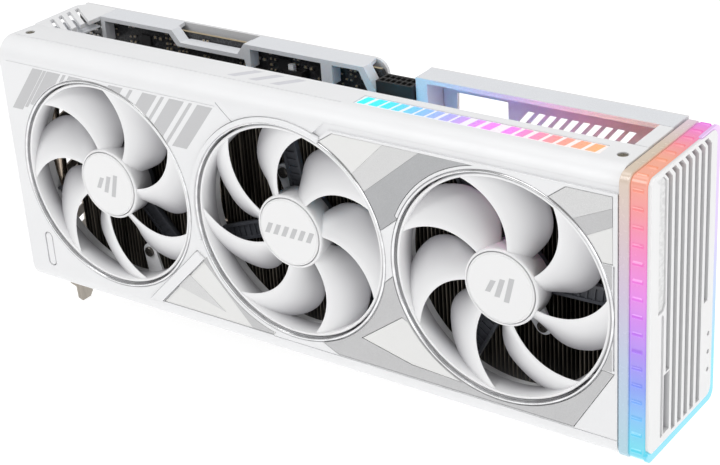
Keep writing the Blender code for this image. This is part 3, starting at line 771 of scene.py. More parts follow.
def make_shroud():
    bm = bmesh.new()
    add_prism(bm, "x", shell_profile(0.0, TOP_STRIP_Y, BOTTOM_STRIP_Y), *SHROUD_X)
    rim = []
    for edge in bm.edges:
        a, b = (v.co for v in edge.verts)
        at_end = abs(a.x - SHROUD_X[0]) < 0.01 and abs(b.x - SHROUD_X[0]) < 0.01
        if at_end and min(a.y, b.y) <= BOTTOM_STRIP_Y - 1:
            rim.append(edge)
    bmesh.ops.bevel(bm, geom=rim, offset=2.2, segments=5, affect="EDGES", profile=0.5)
    shroud = solid("front_shroud_skin", bm)

    inner = shell_profile(WALL, 90.0, 90.0)
    tools = [cut("x", inner, SHROUD_X[0] + WALL, SHROUD_X[1] + 20)]
    for x in FAN_X:
        tools.append(join("y", circle(x, FAN_Z, DUCT_R, 144), 1.0, DUCT_END))
    low, high = (TRIM_R[0], TRIM_R[0] + 0.55)
    groove = [(low, -3.0), (low, 0.8), (high, 0.8), (high, -3.0)]
    for x in FAN_X:
        tools.append(("DIFFERENCE", lathe("cut", (x, FAN_Z), opening_profile(), 144)))
        tools.append(("DIFFERENCE", lathe("cut", (x, FAN_Z), groove, 144)))
    for outline in (UPPER_CENTRE, LOWER_CENTRE, TOP_RIGHT, LOWER_LEFT, DIAGONAL, TRIM_RING, PILL):
        tools.append(cut("y", grow(outline, GAP), -5, POCKET))
    corner_step = [(191.5, 117.4), (196.0, 117.0), (202.4, 122.3), (342.6, 122.3), (342.6, 125.6)]
    seams = (
        (rectangle(160.9, 342.6, 8.5, 9.0), 0.5),
        ([(139.2, 123.8), (147.8, 116.2), (148.2, 116.6), (139.6, 124.2)], 0.9),
        (rectangle(5.0, 139.0, 122.0, 122.35), 0.3),
        (corner_step + [(200.0, 125.6)], 1.15),
        (rectangle(340.5, 341.3, 42.0, 90.5), 1.2),
    )
    for outline, depth in seams:
        tools.append(cut("y", outline, -5, depth))
    top = HEIGHT + 5
    tools.append(cut("z", rectangle(*LIGHT_BAR_X, *LIGHT_BAR_Y), HEIGHT - 1.6, top))
    tools.append(cut("z", rectangle(3.2, 203.0, 10.5, 10.95), HEIGHT - 0.35, top))
    for k in range(3):
        tools.append(cut("z", grow(top_dash(k), 0.1), HEIGHT - 0.3, top))
    for x in TOP_SCREW_X:
        tools.append(cut("z", circle(x, TOP_SCREW_Y, 2.45, 32), HEIGHT - 1.2, top))
    shape(shroud, tools)
    piece(shroud, SHELL, replaces=["front_shroud"], bevel=0.22)


def make_bezels():
    """A thin bright bead round the front of each fan opening."""
    for k, x in enumerate(FAN_X):
        bead = [(53.2, 1.4), (53.2, 0.15), (53.45, -0.2), (53.8, -0.3), (54.15, -0.2), (54.35, 0.1)]
        bead.append((54.35, 1.4))
        made = lathe(f"opening_bead_{k + 1}", (x, FAN_Z), bead, 180)
        piece(made, BRIGHT, sharp=25.0)


def top_dash(k):
    return slanted(136.0 + 12.5 * k, 140.6 + 12.5 * k, 14.2, 24.0, 8.6)


def plate(name, outline, y0, y1, surface, replaces=(), bevel=0.18, clip_r=None):
    """A flat inlay of the fan face, cut back round the centre fan where clip_r is given."""
    made = prism(name, "y", outline, y0, y1)
    if clip_r is not None:
        shape(made, [cut("y", fan_arc(1, clip_r, 0, 360, 180)[:-1], y0 - 2, y1 + 2)])
    return piece(made, surface, replaces=replaces, bevel=bevel)


def make_front_plates():
    deep = POCKET - GAP
    first_a, first_b = (213.2, 103.7), (231.0, 121.2)
    second_a, second_b = (219.6, 96.8), (249.5, 121.2)
    plate("accent_upper_pale", cut_by_line(UPPER_CENTRE, first_a, first_b), 0.15, deep, PANEL,
          ["accent_panel_upper_centre"])
    middle = cut_by_line(cut_by_line(UPPER_CENTRE, first_b, first_a), second_a, second_b)
    plate("accent_upper_light", middle, 0.1, deep, SILVER_LIGHT)
    plate("accent_upper_dark", cut_by_line(UPPER_CENTRE, second_b, second_a), 0.0, deep, SILVER_DARK)

    lower = prism("accent_lower", "y", LOWER_CENTRE, 0.0, deep)
    shape(lower, [cut("y", grow(INFILL, GAP), -5, 5)])
    piece(lower, SILVER, replaces=["accent_panel_lower_centre"], bevel=0.18)
    plate("accent_infill", INFILL, 0.1, deep, PANEL, ["infill_panel"])

    ridge_a, ridge_b = (318.5, 105.8), (340.2, 115.8)
    plate("accent_corner_light", cut_by_line(TOP_RIGHT, ridge_a, ridge_b), 0.0, deep, SILVER_LIGHT,
          ["accent_panel_top_right"])
    below = cut_by_line(TOP_RIGHT, ridge_b, ridge_a)
    seam_a, seam_b = (327.0, 100.6), (341.0, 108.0)
    plate("accent_corner_mid", cut_by_line(below, seam_a, seam_b), 0.12, deep, SILVER)
    plate("accent_corner_pale", cut_by_line(below, seam_b, seam_a), 0.25, deep, PANEL)

    for name, side in (("upper", 1), ("lower", -1)):
        sliver = fan_arc(2, PANEL_R, 14.5 * side, 26.5 * side, 10)
        sliver += [(340.1, FAN_Z + side * 24.6), (340.1, FAN_Z + side * 13.8)]
        plate(f"accent_right_{name}", sliver, -0.08, 0.5, SILVER, bevel=0.08)
    plate("accent_left_base", LOWER_LEFT, 0.35, deep, PANEL, ["accent_panel_lower_left"])
    plate("accent_left_sliver", [(102.6, 20.6), (111.0, 28.8), (132.0, 13.6)], 0.12, 0.7, SILVER_LIGHT)
    blade = [(122.6, 42.4), (121.0, 38.6), (148.0, 9.4), (160.2, 9.4), (161.4, 13.6), (140.0, 26.0)]
    plate("accent_left_ring_piece", blade, 0.1, 0.7, SILVER, clip_r=TRIM_R[1] + GAP)
    plate("diagonal_bar_skin", DIAGONAL, -1.2, deep, SHELL, ["diagonal_bar"], bevel=0.5)
    plate("ring_trim_skin", TRIM_RING, -1.2, deep, SHELL, ["centre_fan_trim_ring"], bevel=0.45)
    plate("pill_inlay", grow(PILL, -0.45), 0.05, deep, SHELL, bevel=0.3)


def make_front_print():
    """Plain slanted bars printed across the upper left of the fan face."""
    lean = 0.78
    top = 121.0
    bars = (
        (4.5, 11.5, 97.0),
        (13.5, 15.5, 99.0),
        (17.5, 26.5, 101.0),
        (30.5, 32.5, 104.0),
        (34.5, 43.5, 104.0),
        (60.5, 69.5, 104.0),
        (71.5, 73.5, 101.0),
        (76.5, 85.5, 97.0),
        (88.0, 90.0, 97.0),
        (93.0, 102.0, 97.0),
        (105.0, 107.0, 97.0),
        (110.0, 119.0, 97.0),
    )
    clear_of_fans = (OPENING_R + 1.5, 57.2)
    for k, (x0, x1, foot) in enumerate(bars):
        outline = slanted(x0, x1, foot, top, lean * (top - foot))
        made = prism(f"front_print_{k + 1}", "y", outline, -0.05, 0.3)
        cutters = []
        for index, radius in enumerate(clear_of_fans):
            cutters.append(cut("y", fan_arc(index, radius, 0, 360, 180)[:-1], -2, 3))
        shape(made, cutters)
        piece(made, PRINT)


# ----------------------------------------------------------------------- fans
LEAD_ANGLE = (0.0, 16.0, 17.0, -1.0)
LEAD_DEPTH = (2.9, 0.9, -2.0)
TRAIL_ANGLE = (-30.0, -6.0, 24.0, 16.0)
TRAIL_DEPTH = (9.5, 17.0, -17.0)
DEPTH_LIMIT = 12.6
BLADE_ROOT = 18.0
BLADE_SPAN = 34.0
CHORD_STEPS = 14
SPAN_STEPS = 16


def polynomial(factors, t):
    return sum(k * t**i for i, k in enumerate(factors))


def half_thickness(s):
    """Half the blade's thickness at share s of its chord: round nose, thinner tail."""
    nose = math.sqrt(min(1.0, s / 0.09))
    tail = 0.25 + 0.75 * math.sqrt(min(1.0, (1 - s) / 0.03))
    return BLADE_T / 2 * nose * (1.0 - 0.55 * s * s) * tail


def blade_section(radius, phase, turn):
    """A closed loop round the blade at one radius."""
    t = (radius - BLADE_ROOT) / BLADE_SPAN
    lead = (polynomial(LEAD_ANGLE, t), polynomial(LEAD_DEPTH, t))
    trail = (polynomial(TRAIL_ANGLE, t), min(DEPTH_LIMIT, polynomial(TRAIL_DEPTH, t)))
    chord = Vector((math.radians(trail[0] - lead[0]) * radius, trail[1] - lead[1]))
    normal = Vector((-chord.y, chord.x)).normalized()
    start = Vector((math.radians(lead[0]) * radius, lead[1]))
    shares = [0.5 - 0.5 * math.cos(math.pi * i / CHORD_STEPS) for i in range(CHORD_STEPS + 1)]
    sides = [(s, 1.0) for s in shares] + [(s, -0.8) for s in reversed(shares[1:-1])]
    loop = []
    for s, side in sides:
        camber = 0.9 * math.sin(math.pi * s)
        point = start + chord * s + normal * (camber + side * half_thickness(s))
        angle = math.radians(phase) + point.x / radius
        loop.append((turn * radius * math.cos(angle), point.y, radius * math.sin(angle)))
    return loop


def make_rotor(name, index, phase, turn):
    x = FAN_X[index]
    bm = bmesh.new()
    inner = HUB_R - 0.9
    outer = RING_R[0] + 0.7
    for k in range(BLADES):
        loops = []
        for i in range(SPAN_STEPS + 1):
            radius = inner + (outer - inner) * i / SPAN_STEPS
            section = blade_section(radius, phase + 360 * k / BLADES, turn)
            loops.append([bm.verts.new((x + dx, y, FAN_Z + dz)) for dx, y, dz in section])
        for a, b in zip(loops, loops[1:]):
            for i in range(len(a)):
                j = (i + 1) % len(a)
                bm.faces.new((a[i], a[j], b[j], b[i]))
        bm.faces.new(list(reversed(loops[0])))
        bm.faces.new(loops[-1])
    hub = [(HUB_R, 13.4), (HUB_R, 4.0)]
    for degrees in (0, 25, 50, 75, 90):
        angle = math.radians(degrees)
        hub.append((HUB_R - 1.0 + math.cos(angle), 2.85 - math.sin(angle)))
    hub += [(17.15, 1.85), (17.0, 2.0), (17.0, 3.3), (1.8, 3.3), (1.8, 4.2), (16.6, 4.2), (16.6, 13.4)]
    add_lathe(bm, (x, FAN_Z), hub, 120)
    low, high = RING_R
    front, rear = RING_Y
    ring = [(high, rear - 0.6), (high, front + 0.5), (high - 0.25, front + 0.1), (high - 0.7, front)]
    ring += [(low + 0.25, front + 0.1), (low, front + 0.5), (low, rear - 0.6), (low + 0.3, rear)]
    add_lathe(bm, (x, FAN_Z), ring + [(high - 0.3, rear)], 180)
    rotor = solid(f"{name}_blades", bm)
    piece(rotor, FAN, name, [f"{name}_rotor"], sharp=40.0)

    profile = [(0, 1.42), (15.6, 1.42), (15.75, 1.6), (15.95, 1.6), (16.1, 1.4), (16.3, 1.4)]
    profile += [(16.55, 1.65), (16.55, 2.4), (0, 2.4)]
    cap = dome(f"{name}_cap", (x, FAN_Z), profile, 120)
    piece(cap, HUB, name, [f"{name}_hub_cap"], sharp=25.0)
    make_cap_mark(name, index)
    keep(f"{name}_shaft", STEEL)


# The bars printed on each hub cap: count, first place, pitch, half height, growth and lean.
OUTER_MARK = (3, -7.6, 4.6, 3.0, 1.5, 3.0)
CENTRE_MARK = (6, -14.0, 4.7, 2.7, 0.0, 2.6)
CAP_MARKS = (OUTER_MARK, CENTRE_MARK, OUTER_MARK)


def make_cap_mark(name, index):
    """Plain slanted bars printed on the hub cap."""
    count, first, pitch, half, growth, lean = CAP_MARKS[index]
    bm = bmesh.new()
    for k in range(count):
        start = FAN_X[index] + first + pitch * k
        reach = half + growth * k
        add_prism(bm, "y", slanted(start, start + 2.6, FAN_Z - reach, FAN_Z + reach, lean), 1.38, 1.6)
    piece(solid(f"{name}_cap_mark", bm), PRINT, name)


# Angle and reach of the screw ear on each motor frame, and how far out it is rooted.
EARS = ((-78.0, 42.0, 55.0), (117.6, 24.8, 16.0), (-60.8, 25.2, 16.0))
ARM_ANGLES = ((-48.0, 72.0, 204.0), (100.0, 200.0, 320.0), (-119.0, 1.0, 121.0))


def add_arm(bm, centre, angle):
    """A strut from the motor to the duct: a channel with slanted ribs across it."""
    out = math.radians(angle)
    ahead = Vector((math.cos(out), math.sin(out)))
    side = Vector((-ahead.y, ahead.x))
    for offset, width, front in ((-3.6, 0.7, 14.3), (3.6, 0.7, 14.3), (0.0, 4.3, 15.4)):
        root = centre + ahead * 15.0 + side * offset
        tip = centre + ahead * 53.2 + side * offset
        outline = [root - side * width, tip - side * width, tip + side * width, root + side * width]
        add_prism(bm, "y", [tuple(p) for p in outline], front, 16.9)
    for i in range(9):
        mid = centre + ahead * (19 + 3.6 * i)
        outline = [mid - side * 2.9 - ahead * 0.5, mid - side * 2.9 + ahead * 0.5]
        outline += [mid + side * 2.9 + ahead * 1.3, mid + side * 2.9 + ahead * 0.3]
        add_prism(bm, "y", [tuple(p) for p in outline], 14.8, 15.8)


def make_motor_frame(name, index):
    centre = Vector((FAN_X[index], FAN_Z))
    bm = bmesh.new()
    disc = [(1.8, 5.2), (14.8, 5.2), (15.6, 6.0), (15.6, 13.9), (16.9, 13.9), (17.5, 14.5)]
    add_lathe(bm, tuple(centre), disc + [(17.5, 16.6), (1.8, 16.6)], 72)
    for angle in ARM_ANGLES[index]:
        add_arm(bm, centre, angle)
    piece(solid(f"{name}_frame", bm), MOTOR, replaces=[f"{name}_motor_frame"])


def make_screw_ear(name, index):
    """A rounded lug of the motor frame with its screw."""
    angle, reach, root = EARS[index]
    out = math.radians(angle)
    ahead = Vector((math.cos(out), math.sin(out)))
    centre = Vector((FAN_X[index], FAN_Z))
    eye = centre + ahead * reach
    far = centre + ahead * root
    to_root = (far - eye).normalized()
    side = Vector((-to_root.y, to_root.x))
    heading = math.degrees(math.atan2(to_root.y, to_root.x))
    outline = arc(eye.x, eye.y, 4.2, heading + 90, heading + 270, 20)
    outline += [tuple(far - side * 5.2), tuple(far + side * 5.2)]
    ear = prism(f"{name}_screw_ear", "y", outline, 15.6, 17.2)
    piece(ear, SHELL if index == 0 else FRAME, bevel=0.4)
    head = [(0, 14.7), (0.9, 14.7), (1.0, 14.3), (2.3, 14.3), (2.6, 14.6), (2.6, 15.5), (0, 15.5)]
    screw = dome(f"{name}_ear_screw", tuple(eye), head, 32)
    piece(screw, SCREW)


# Name, angle of the first blade and way of turning: the centre fan turns the other way.
FANS = (("fan_left", 54.3, 1), ("fan_centre", 22.0, -1), ("fan_right", 29.1, 1))


def make_fans():
    for index, (name, phase, turn) in enumerate(FANS):
        make_rotor(name, index, phase, turn)
        make_motor_frame(name, index)
        make_screw_ear(name, index)


# -------------------------------------------------------------------- cooling
FIN_PITCH = 2.1
FIN_T = 0.42
FIN_Y = (18.2, 45.6)
FIN_Z = (8.0, 110.0)


def make_fin_stack(name, x0, x1):
    """Thin fins side by side, with a plate across their back."""
    bm = bmesh.new()
    count = int((x1 - x0) / FIN_PITCH)
    for i in range(count + 1):
        x = x0 + i * FIN_PITCH
        add_box(bm, x, x + FIN_T, FIN_Y[0], FIN_Y[1], *FIN_Z)
    add_box(bm, x0, x1, FIN_Y[1] - 1.0, FIN_Y[1], FIN_Z[0] + 0.5, FIN_Z[1] - 0.5)
    piece(solid(f"{name}_fins", bm), FIN, replaces=[name])


def sweep(name, path, radius, sides=20, bend=9.0, bend_steps=10):
    """A round bar along a path whose corners are rounded to the bend radius."""
    corners = [Vector(p) for p in path]
    line = [corners[0]]
    for before, here, after in zip(corners, corners[1:], corners[2:]):
        reach = min(bend, (before - here).length * 0.49, (after - here).length * 0.49)
        a = here + (before - here).normalized() * reach
        b = here + (after - here).normalized() * reach
        for i in range(bend_steps + 1):
            t = i / bend_steps
            line.append(a * (1 - t) ** 2 + here * 2 * t * (1 - t) + b * t * t)
    line.append(corners[-1])
    bm = bmesh.new()
    rings = []
    side = None
    for i, point in enumerate(line):
        ahead = line[min(i + 1, len(line) - 1)] - line[max(i - 1, 0)]
        ahead.normalize()
        if side is None:
            side = ahead.orthogonal().normalized()
        side = (side - ahead * side.dot(ahead)).normalized()
        up = ahead.cross(side)
        ring = []
        for k in range(sides):
            angle = 2 * math.pi * k / sides
            ring.append(bm.verts.new(point + (side * math.cos(angle) + up * math.sin(angle)) * radius))
        rings.append(ring)
    for a, b in zip(rings, rings[1:]):
        for k in range(sides):
            j = (k + 1) % sides
            bm.faces.new((a[k], a[j], b[j], b[k]))
    bm.faces.new(list(reversed(rings[0])))
    bm.faces.new(rings[-1])
    return solid(name, bm)


def pipe_path(start, near, turn, low, high, end):
    """Along the back at one height, round a loop at the front, and back at the other height."""
    return [
        (start, PIPE_BACK, low),
        (near, PIPE_BACK, low),
        (turn, PIPE_FRONT, low),
        (turn, PIPE_FRONT, high),
        (near, PIPE_BACK, high),
        (end, PIPE_BACK, high),
    ]


PIPES = (
    ("heatpipe_left", pipe_path(200, 17, 9.5, 39, 94, 318)),
    ("heatpipe_centre", pipe_path(30, 117, 117, 50, 82, 222)),
    ("heatpipe_right", pipe_path(140, 333, 333, 66, 28, 120)),
)


def make_cooling():
    make_fin_stack("fin_stack_left", 25.0, 111.5)
    make_fin_stack("fin_stack_centre", 123.0, 224.5)
    make_fin_stack("fin_stack_right", 231.0, 325.5)
    for name, path in PIPES:
        piece(sweep(f"{name}_tube", path, 3.0), NICKEL, replaces=[name])
    keep("cold_plate", NICKEL, 0.2)


# ---------------------------------------------------------------- circuit board
def make_board():
    keep("circuit_board", BOARD)
    keep("gpu_package", PACKAGE, 0.1)
    for k in range(4):
        keep(f"memory_chip_{k + 1}", CHIP, 0.1)
    for k in range(2):
        keep(f"power_choke_{k + 1}", CHOKE, 0.3)
    keep("power_socket", SOCKET, 0.2)
    keep("bios_switch_housing", SOCKET, 0.15)
    keep("bios_switch_slider", SLIDER, 0.2)
    keep("led_strip", LED_BOARD)
    scatter_components()
    make_edge_contacts()


def add_capacitor(ends, tans, x, z, length):
    """A chip capacitor: a tan body between two metal ends."""
    cap = 0.22 * length
    top = z + length * 0.55
    add_box(ends, x, x + cap, PARTS_FACE - 0.7, PARTS_FACE, z, top)
    add_box(tans, x + cap, x + length - cap, PARTS_FACE - 0.7, PARTS_FACE, z, top)
    add_box(ends, x + length - cap, x + length, PARTS_FACE - 0.7, PARTS_FACE, z, top)


def scatter_components():
    """Small parts along the upper edge of the board, in front of it."""
    rng = random.Random(11)
    front = PARTS_FACE
    chips = bmesh.new()
    blocks = bmesh.new()
    tans = bmesh.new()
    ends = bmesh.new()
    x = 6.0
    while x < 186.0:
        kind = rng.random()
        if kind < 0.25:
            w, h = rng.uniform(6.0, 9.0), rng.uniform(5.5, 7.5)
            z = rng.uniform(116.0, 120.0)
            add_box(chips, x, x + w, front - 0.75, front, z, z + h)
            for i in range(int(w / 1.3)):
                px = x + 0.5 + 1.3 * i
                add_box(ends, px, px + 0.55, front - 0.4, front - 0.1, z - 0.8, z - 0.1)
            for row in range(3):
                add_capacitor(ends, tans, x + 0.6 + 2.4 * row, 107.5 + 2.2 * (row % 2), 1.8)
            x += w + 1.2
        elif kind < 0.7:
            for row in range(9):
                for column in range(2):
                    if rng.random() < 0.3:
                        continue
                    size = rng.uniform(1.1, 1.9)
                    px = x + 2.4 * column + rng.uniform(-0.2, 0.2)
                    add_capacitor(ends, tans, px, 105.0 + 2.6 * row + rng.uniform(-0.4, 0.4), size)
            x += 5.2
        elif kind < 0.85:
            add_box(blocks, x, x + 7.2, front - 3.4, front, 106.0, 117.4)
            add_capacitor(ends, tans, x + 1.0, 122.5, 2.2)
            add_capacitor(ends, tans, x + 4.4, 122.3, 2.2)
            x += 8.8
        elif kind < 0.93:
            add_prism(ends, "y", circle(x + 2.6, 112.0, 2.5, 24), front - 4.6, front)
            x += 6.5
        else:
            x += rng.uniform(2.0, 4.0)
    add_box(tans, 99.0, 104.5, front - 0.9, front, 121.5, 125.5)
    piece(solid("board_blocks", blocks), CHOKE, bevel=0.3)
    piece(solid("board_chips", chips), CHIP)
    piece(solid("board_capacitors", tans), TAN)
    piece(solid("board_contacts", ends), PORT)


def make_edge_contacts():
    """Gold contacts on both faces of the tongue, and the bare core along the upper edge."""
    gold = bmesh.new()
    for x0, x1 in ((44.6, 55.0), (58.2, 128.6)):
        for i in range(int(x1 - x0)):
            for y in (56.46, 58.08):
                add_box(gold, x0 + i + 0.15, x0 + i + 0.85, y, y + 0.06, -16.6, -11.6)
    piece(solid("edge_contacts", gold), GOLD)
    edge = prism("board_edge", "z", rectangle(3.0, 192.5, 56.6, 58.0), 129.22, 129.4)
    piece(edge, TAN)


# ------------------------------------------------------------- back and top
def make_louvre():
    """The slotted corner panel by the bracket, and the plate seen through its slots."""
    panel = [(0.3, 26.8), (24.0, 26.8), (24.0, 61.9), (5.0, 61.9), (0.3, 57.0)]
    louvre = prism("top_louvre_skin", "z", panel, 129.6, HEIGHT)
    cutters = []
    for i in range(4):
        y = 35.0 + 6.0 * i
        slot = [(4.0, y - 1.2), (27.0, y - 16.5), (27.0, y - 14.0), (4.0, y + 1.3)]
        cutters.append(cut("z", slot, 125, 140))
    shape(louvre, cutters)
    piece(louvre, SHELL, replaces=["top_louvre_panel"], bevel=0.35)

    backing = prism("louvre_backing", "z", rectangle(2.9, 23.9, 26.9, 48.8), 126.4, 127.2)
    piece(backing, FRAME)


def make_top_frame():
    """The rail over the board with its windows, and the covers behind it."""
    rail = [(24.3, 118.6), (27.0, 118.6), (27.0, 129.8), (70.0, 129.8), (74.5, 124.0), (117.0, 124.0)]
    rail += [(118.0, 120.0), (121.0, 120.0), (121.0, 129.8), (163.0, 129.8), (163.0, 120.0)]
    rail += [(169.5, 120.0), (169.5, 129.8), (184.5, 129.8), (190.0, 119.0), (195.0, 119.0)]
    rail += [(187.5, HEIGHT), (117.5, HEIGHT), (113.0, 126.2), (77.0, 126.2), (72.0, HEIGHT)]
    rail.append((24.3, HEIGHT))
    frame_skin = prism("top_frame_skin", "y", rail, 49.2, 55.6)
    tools = []
    for x0, x1 in ((24.3, 71.5), (118.0, 187.5)):
        cover = [(x0, 55.0), (x1, 55.0), (x1 - 1.5, 61.9), (x0, 61.9)]
        tools.append(join("z", cover, 130.0, HEIGHT))
    tools.append(join("z", rectangle(78.0, 112.5, 55.0, 56.2), 124.4, 126.2))
    shape(frame_skin, tools)
    piece(frame_skin, FRAME, replaces=["top_frame"], bevel=0.5, segments=3)
    keep("tail_frame", FRAME, 0.4)
    keep("tail_end_band", SHELL, 0.4)


def make_top_fittings():
    """The two screw heads and the three printed dashes of the top strip."""
    head = [(0, 131.2), (0.7, 131.2), (0.9, 131.75), (1.7, 131.8), (2.1, 131.6), (2.1, 127.5), (0, 127.5)]
    for k, x in enumerate(TOP_SCREW_X):
        screw = dome(f"top_screw_head_{k + 1}", (x, TOP_SCREW_Y), head, 32, "z")
        piece(screw, TOP_SCREW, replaces=[f"top_screw_{k + 1}"])
    for k in range(3):
        dash = prism(f"top_dash_{k + 1}", "z", top_dash(k), HEIGHT - 0.3, HEIGHT - 0.03)
        piece(dash, PALE_PRINT)


def make_light_bar():
    """The lit bar in the top strip: a pale base, slanted dashes and the strip below."""
    x0, x1 = LIGHT_BAR_X
    y0, y1 = LIGHT_BAR_Y
    outline = rectangle(x0 + GAP, x1 - GAP, y0 + GAP, y1 - GAP)
    base = prism("light_bar_base", "z", outline, HEIGHT - 1.3, HEIGHT - 0.22)
    piece(base, BAR_HALO, replaces=["top_light_bar"], bevel=0.2)
    bm = bmesh.new()
    starts = [209.2 + 6.0 * k for k in range(9)] + [265.6, 272.0] + [281.8 + 6.5 * k for k in range(7)]
    for k, x in enumerate(starts):
        width = 4.6 if k % 3 else 3.9
        add_prism(bm, "z", slanted(x, x + width, 13.4, 20.7, 1.2), HEIGHT - 0.6, HEIGHT - 0.05)
    piece(solid("light_bar_dashes", bm), LIT_BAR, bevel=0.12)
    bm = bmesh.new()
    add_box(bm, 200.0, 334.0, 23.6, 24.4, 125.5, 128.5)
    piece(solid("top_led_strip", bm), LED_GLOW)


BACK_SCREWS = ((144, 36), (206, 36), (144, 96), (206, 96))
HEAD_TOP = DEPTH + 0.72


def make_back():
    """The backplate with its plain printed lines, and its screws."""
    keep("backplate", BACK, 0.3)
    outlines = [slanted(28.0 + 11.0 * k, 33.2 + 11.0 * k, 22.0, 34.0, 8.4) for k in range(7)]
    outlines.append(rectangle(20.0, 128.0, 14.0, 14.9))
    outlines.append(slanted(128.0, 129.0, 14.0, 23.2, 23.0))
    outlines.append(rectangle(154.0, 328.0, 23.0, 23.9))
    bm = bmesh.new()
    for outline in outlines:
        add_prism(bm, "y", outline, DEPTH - 0.05, DEPTH + 0.06)
    piece(solid("back_print", bm), PRINT)
    head = [(0, DEPTH + 0.45), (0.9, DEPTH + 0.45), (1.1, HEAD_TOP), (2.9, HEAD_TOP), (3.35, DEPTH + 0.5)]
    head += [(3.35, DEPTH + 0.3), (1.5, DEPTH + 0.3), (1.5, 58.8), (0, 58.8)]
    for k, place in enumerate(BACK_SCREWS):
        screw = dome(f"back_screw_{k + 1}", place, head, 36)
        piece(screw, SCREW, replaces=[f"backplate_screw_{k + 1}"])


# ------------------------------------------------------------------------ tail
RIDGE_PITCH = 8.05


def tail_outline():
    return rounded_rectangle(0.0, DEPTH, TAIL_MARGIN, HEIGHT - TAIL_MARGIN, TAIL_CORNER, 10)


def ring_path(step=0.4):
    """Points round the tail from the middle of the lower edge, up the front side first."""
    outline = tail_outline()
    start = (DEPTH / 2, TAIL_MARGIN)
    closed = [start] + list(reversed(outline)) + [start]
    points = []
    for a, b in zip(closed, closed[1:]):
        count = max(1, round(math.dist(a, b) / step))
        for i in range(count):
            points.append((a[0] + (b[0] - a[0]) * i / count, a[1] + (b[1] - a[1]) * i / count))
    return points


def ring_section(x0, x1, sunk, raised):
    """(x, depth) round a band: outer skin sunk below the surface, its middle raised again."""
    edge = 0.4
    return (
        (x0, sunk + edge),
        (x0 + edge, sunk),
        (x0 + 1.0, sunk),
        (x0 + 1.3, sunk - raised),
        (x1 - 1.3, sunk - raised),
        (x1 - 1.0, sunk),
        (x1 - edge, sunk),
        (x1, sunk + edge),
        (x1, 3.0),
        (x0, 3.0),
    )


def ring_piece(name, x0, x1, ridge, surface, node):
    """A band round the tail, with a row of raised bars across it where ridge is above 0."""
    outer = ring_path()
    count = len(outer)
    travelled = [0.0]
    for a, b in zip(outer, outer[1:] + outer[:1]):
        travelled.append(travelled[-1] + math.dist(a, b))
    total = travelled[-1]
    pitch = total / round(total / RIDGE_PITCH)
    middle = Vector((DEPTH / 2, HEIGHT / 2))
    bm = bmesh.new()
    along = bm.faces.layers.float.new("along")
    crest = bm.faces.layers.float.new("crest")
    loops = []
    for i in range(count):
        before, after = outer[i - 1], outer[(i + 1) % count]
        tangent = Vector((after[0] - before[0], after[1] - before[1])).normalized()
        inward = Vector((-tangent.y, tangent.x))
        here = Vector(outer[i])
        if (here - middle).dot(inward) > 0:
            inward = -inward
        phase = (travelled[i] / pitch) % 1.0
        bar = min(1.0, max(0.0, 1.6 - abs(phase - 0.5) / 0.085))
        section = ring_section(x0, x1, ridge, ridge * bar)
        points = [(here + inward * deep, x) for x, deep in section]
        loops.append(([bm.verts.new((x, p.x, p.y)) for p, x in points], bar))
    sides = len(loops[0][0])
    for i in range(count):
        a, bar_a = loops[i]
        b, bar_b = loops[(i + 1) % count]
        for k in range(sides):
            j = (k + 1) % sides
            face = bm.faces.new((a[k], b[k], b[j], a[j]))
            face[along] = (travelled[i] + travelled[i + 1]) / 2 / total
            face[crest] = (bar_a + bar_b) / 2 if 2 <= k <= 4 else 0.0
    piece(solid(name, bm), surface, replaces=[node], sharp=28.0)


def make_edge_band():
    """The thin lit rim between the ring and the end cap, open on the fan side."""
    band = prism("lit_edge_band", "x", tail_outline(), 354.65, 356.1)
    openings = (
        rounded_rectangle(0.9, 60.5, 4.3, 130.9, 4.0),
        rectangle(-1.0, 1.3, 5.0, 140.0),
        rectangle(-1.0, 46.0, 110.0, 140.0),
    )
    shape(band, [cut("x", outline, 350.0, 360.0) for outline in openings])
    piece(band, EDGE_BAND, bevel=0.35)


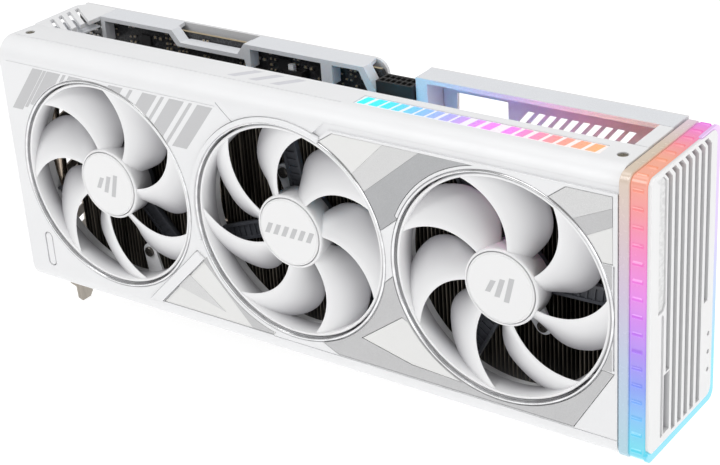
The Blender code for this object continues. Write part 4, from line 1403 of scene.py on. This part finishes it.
def make_tail_cap():
    """The end cap with its upright grooves, side recess, slots and three small holes."""
    inset = 3.3
    base = TAIL_MARGIN + inset
    outline = rounded_rectangle(inset, DEPTH - inset, base, HEIGHT - base, 1.2)
    cap = prism("tail_cap_body", "x", outline, 344.0, 355.2)
    tools = [join("x", rounded_rectangle(1.2, 60.2, 4.6, 130.6, 4.0), 354.9, BODY_END)]
    hollow = rounded_rectangle(inset + 2.4, DEPTH - inset - 2.4, 6.5, 125.6, 1.0)
    tools.append(cut("x", hollow, 340.0, 348.5))
    beyond = BODY_END + 5
    for i, low in enumerate((38.0, 6.5, 6.5, 6.5, 6.5, 6.5, 53.0)):
        y = 17.6 + 5.9 * i
        groove = [(y - 1.75, low), (y + 1.75, low), (y + 1.75, 125.8), (y - 1.6, 129.2)]
        groove += [(y - 5.1, 129.2), (y - 1.75, 125.8)]
        tools.append(cut("x", groove, BODY_END - 5.6, beyond))
    recess = [(8.2, 68.0), (13.0, 68.0), (14.8, 70.4), (14.8, 125.6), (11.6, 128.6), (5.4, 128.6)]
    tools.append(cut("x", recess + [(8.2, 125.8)], BODY_END - 1.2, beyond))
    line = [(11.4, 8.0), (13.6, 8.0), (13.6, 65.4), (12.0, 67.0), (11.4, 66.0)]
    tools.append(cut("x", line, BODY_END - 1.5, beyond))
    tools.append(cut("x", rectangle(14.2, 19.6, 8.6, 37.2), BODY_END - 4.0, beyond))
    for z in (18.0, 27.0, 36.0):
        tools.append(cut("x", circle(56.6, z, 1.15, 20), BODY_END - 8, beyond))
    shape(cap, tools)
    piece(cap, CAP, replaces=["tail_cap"], bevel=0.3)
    panel = [(8.5, 68.4), (12.9, 68.4), (14.5, 70.6), (14.5, 125.4), (11.4, 128.3), (6.2, 128.3)]
    textured = prism("tail_texture_panel", "x", panel + [(8.5, 126.0)], BODY_END - 1.2, BODY_END - 0.75)
    piece(textured, TEXTURED)


def make_tail():
    ring_piece("clear_band", 342.9, 347.4, 0.0, CLEAR_RING, "ring_diffuser")
    ring_piece("lit_band", 347.7, 354.6, 0.6, LIT_RING, "ring_light_guide")
    make_edge_band()
    make_tail_cap()


# --------------------------------------------------------------------- bracket
def make_bracket():
    """The metal bracket, the shells of its sockets and the tongues inside them."""
    keep("io_bracket", BRACKET, 0.15)
    for kind, count in (("hdmi", 2), ("displayport", 3)):
        for k in range(count):
            keep(f"{kind}_socket_{k + 1}", PORT, 0.15)
    tongues = bmesh.new()
    for z, half in ((76.0, 5.6), (58.0, 6.2), (40.0, 6.2), (22.0, 6.2), (4.0, 5.6)):
        add_box(tongues, 1.0, 10.4, 51.0, 52.2, z - half, z + half)
    piece(solid("port_tongues", tongues), SOCKET, bevel=0.15)


# ----------------------------------------------------------- floor and lights
FLOOR_HALF = 6.0
FLOOR_DROP = 0.0002


def make_stage():
    """A pale floor, an even white world and three soft lights."""
    bm = bmesh.new()
    outline = rectangle(-FLOOR_HALF, FLOOR_HALF, -FLOOR_HALF, FLOOR_HALF)
    bm.faces.new([bm.verts.new((x, y, -FLOOR_DROP)) for x, y in outline])
    floor = solid("floor", bm)
    surface = Surface("floor_white", (0.30, 0.30, 0.30), 0.9)
    surface.shader.inputs["Emission Color"].default_value = (1.0, 1.0, 1.0, 1.0)
    surface.shader.inputs["Emission Strength"].default_value = 0.92
    floor.data.materials.append(surface.material)

    world = bpy.data.worlds.new("studio")
    bpy.context.scene.world = world
    world.use_nodes = True
    background = world.node_tree.nodes["Background"]
    background.inputs["Color"].default_value = (1.0, 1.0, 1.0, 1.0)
    background.inputs["Strength"].default_value = 0.36

    add_area("key", (-350, -900, 1100), (170, 0, 60), 0.7, 7.0)
    add_area("top", (250, 150, 1200), (170, 30, 60), 1.0, 6.2)
    add_area("side", (1300, -150, 500), (356, 30, 70), 0.8, 3.2)


def add_area(name, place, target, size, power):
    data = bpy.data.lights.new(name, "AREA")
    data.energy = power
    data.size = size
    light = bpy.data.objects.new(name, data)
    bpy.context.scene.collection.objects.link(light)
    light.location = at(*place)
    ahead = at(*target) - at(*place)
    light.rotation_euler = ahead.to_track_quat("-Z", "Y").to_euler()


bpy.context.scene.view_settings.view_transform = "Standard"

make_stage()
make_shroud()
make_bezels()
make_front_plates()
make_front_print()
make_fans()
make_cooling()
make_board()
make_louvre()
make_top_frame()
make_top_fittings()
make_light_bar()
make_back()
make_tail()
make_bracket()
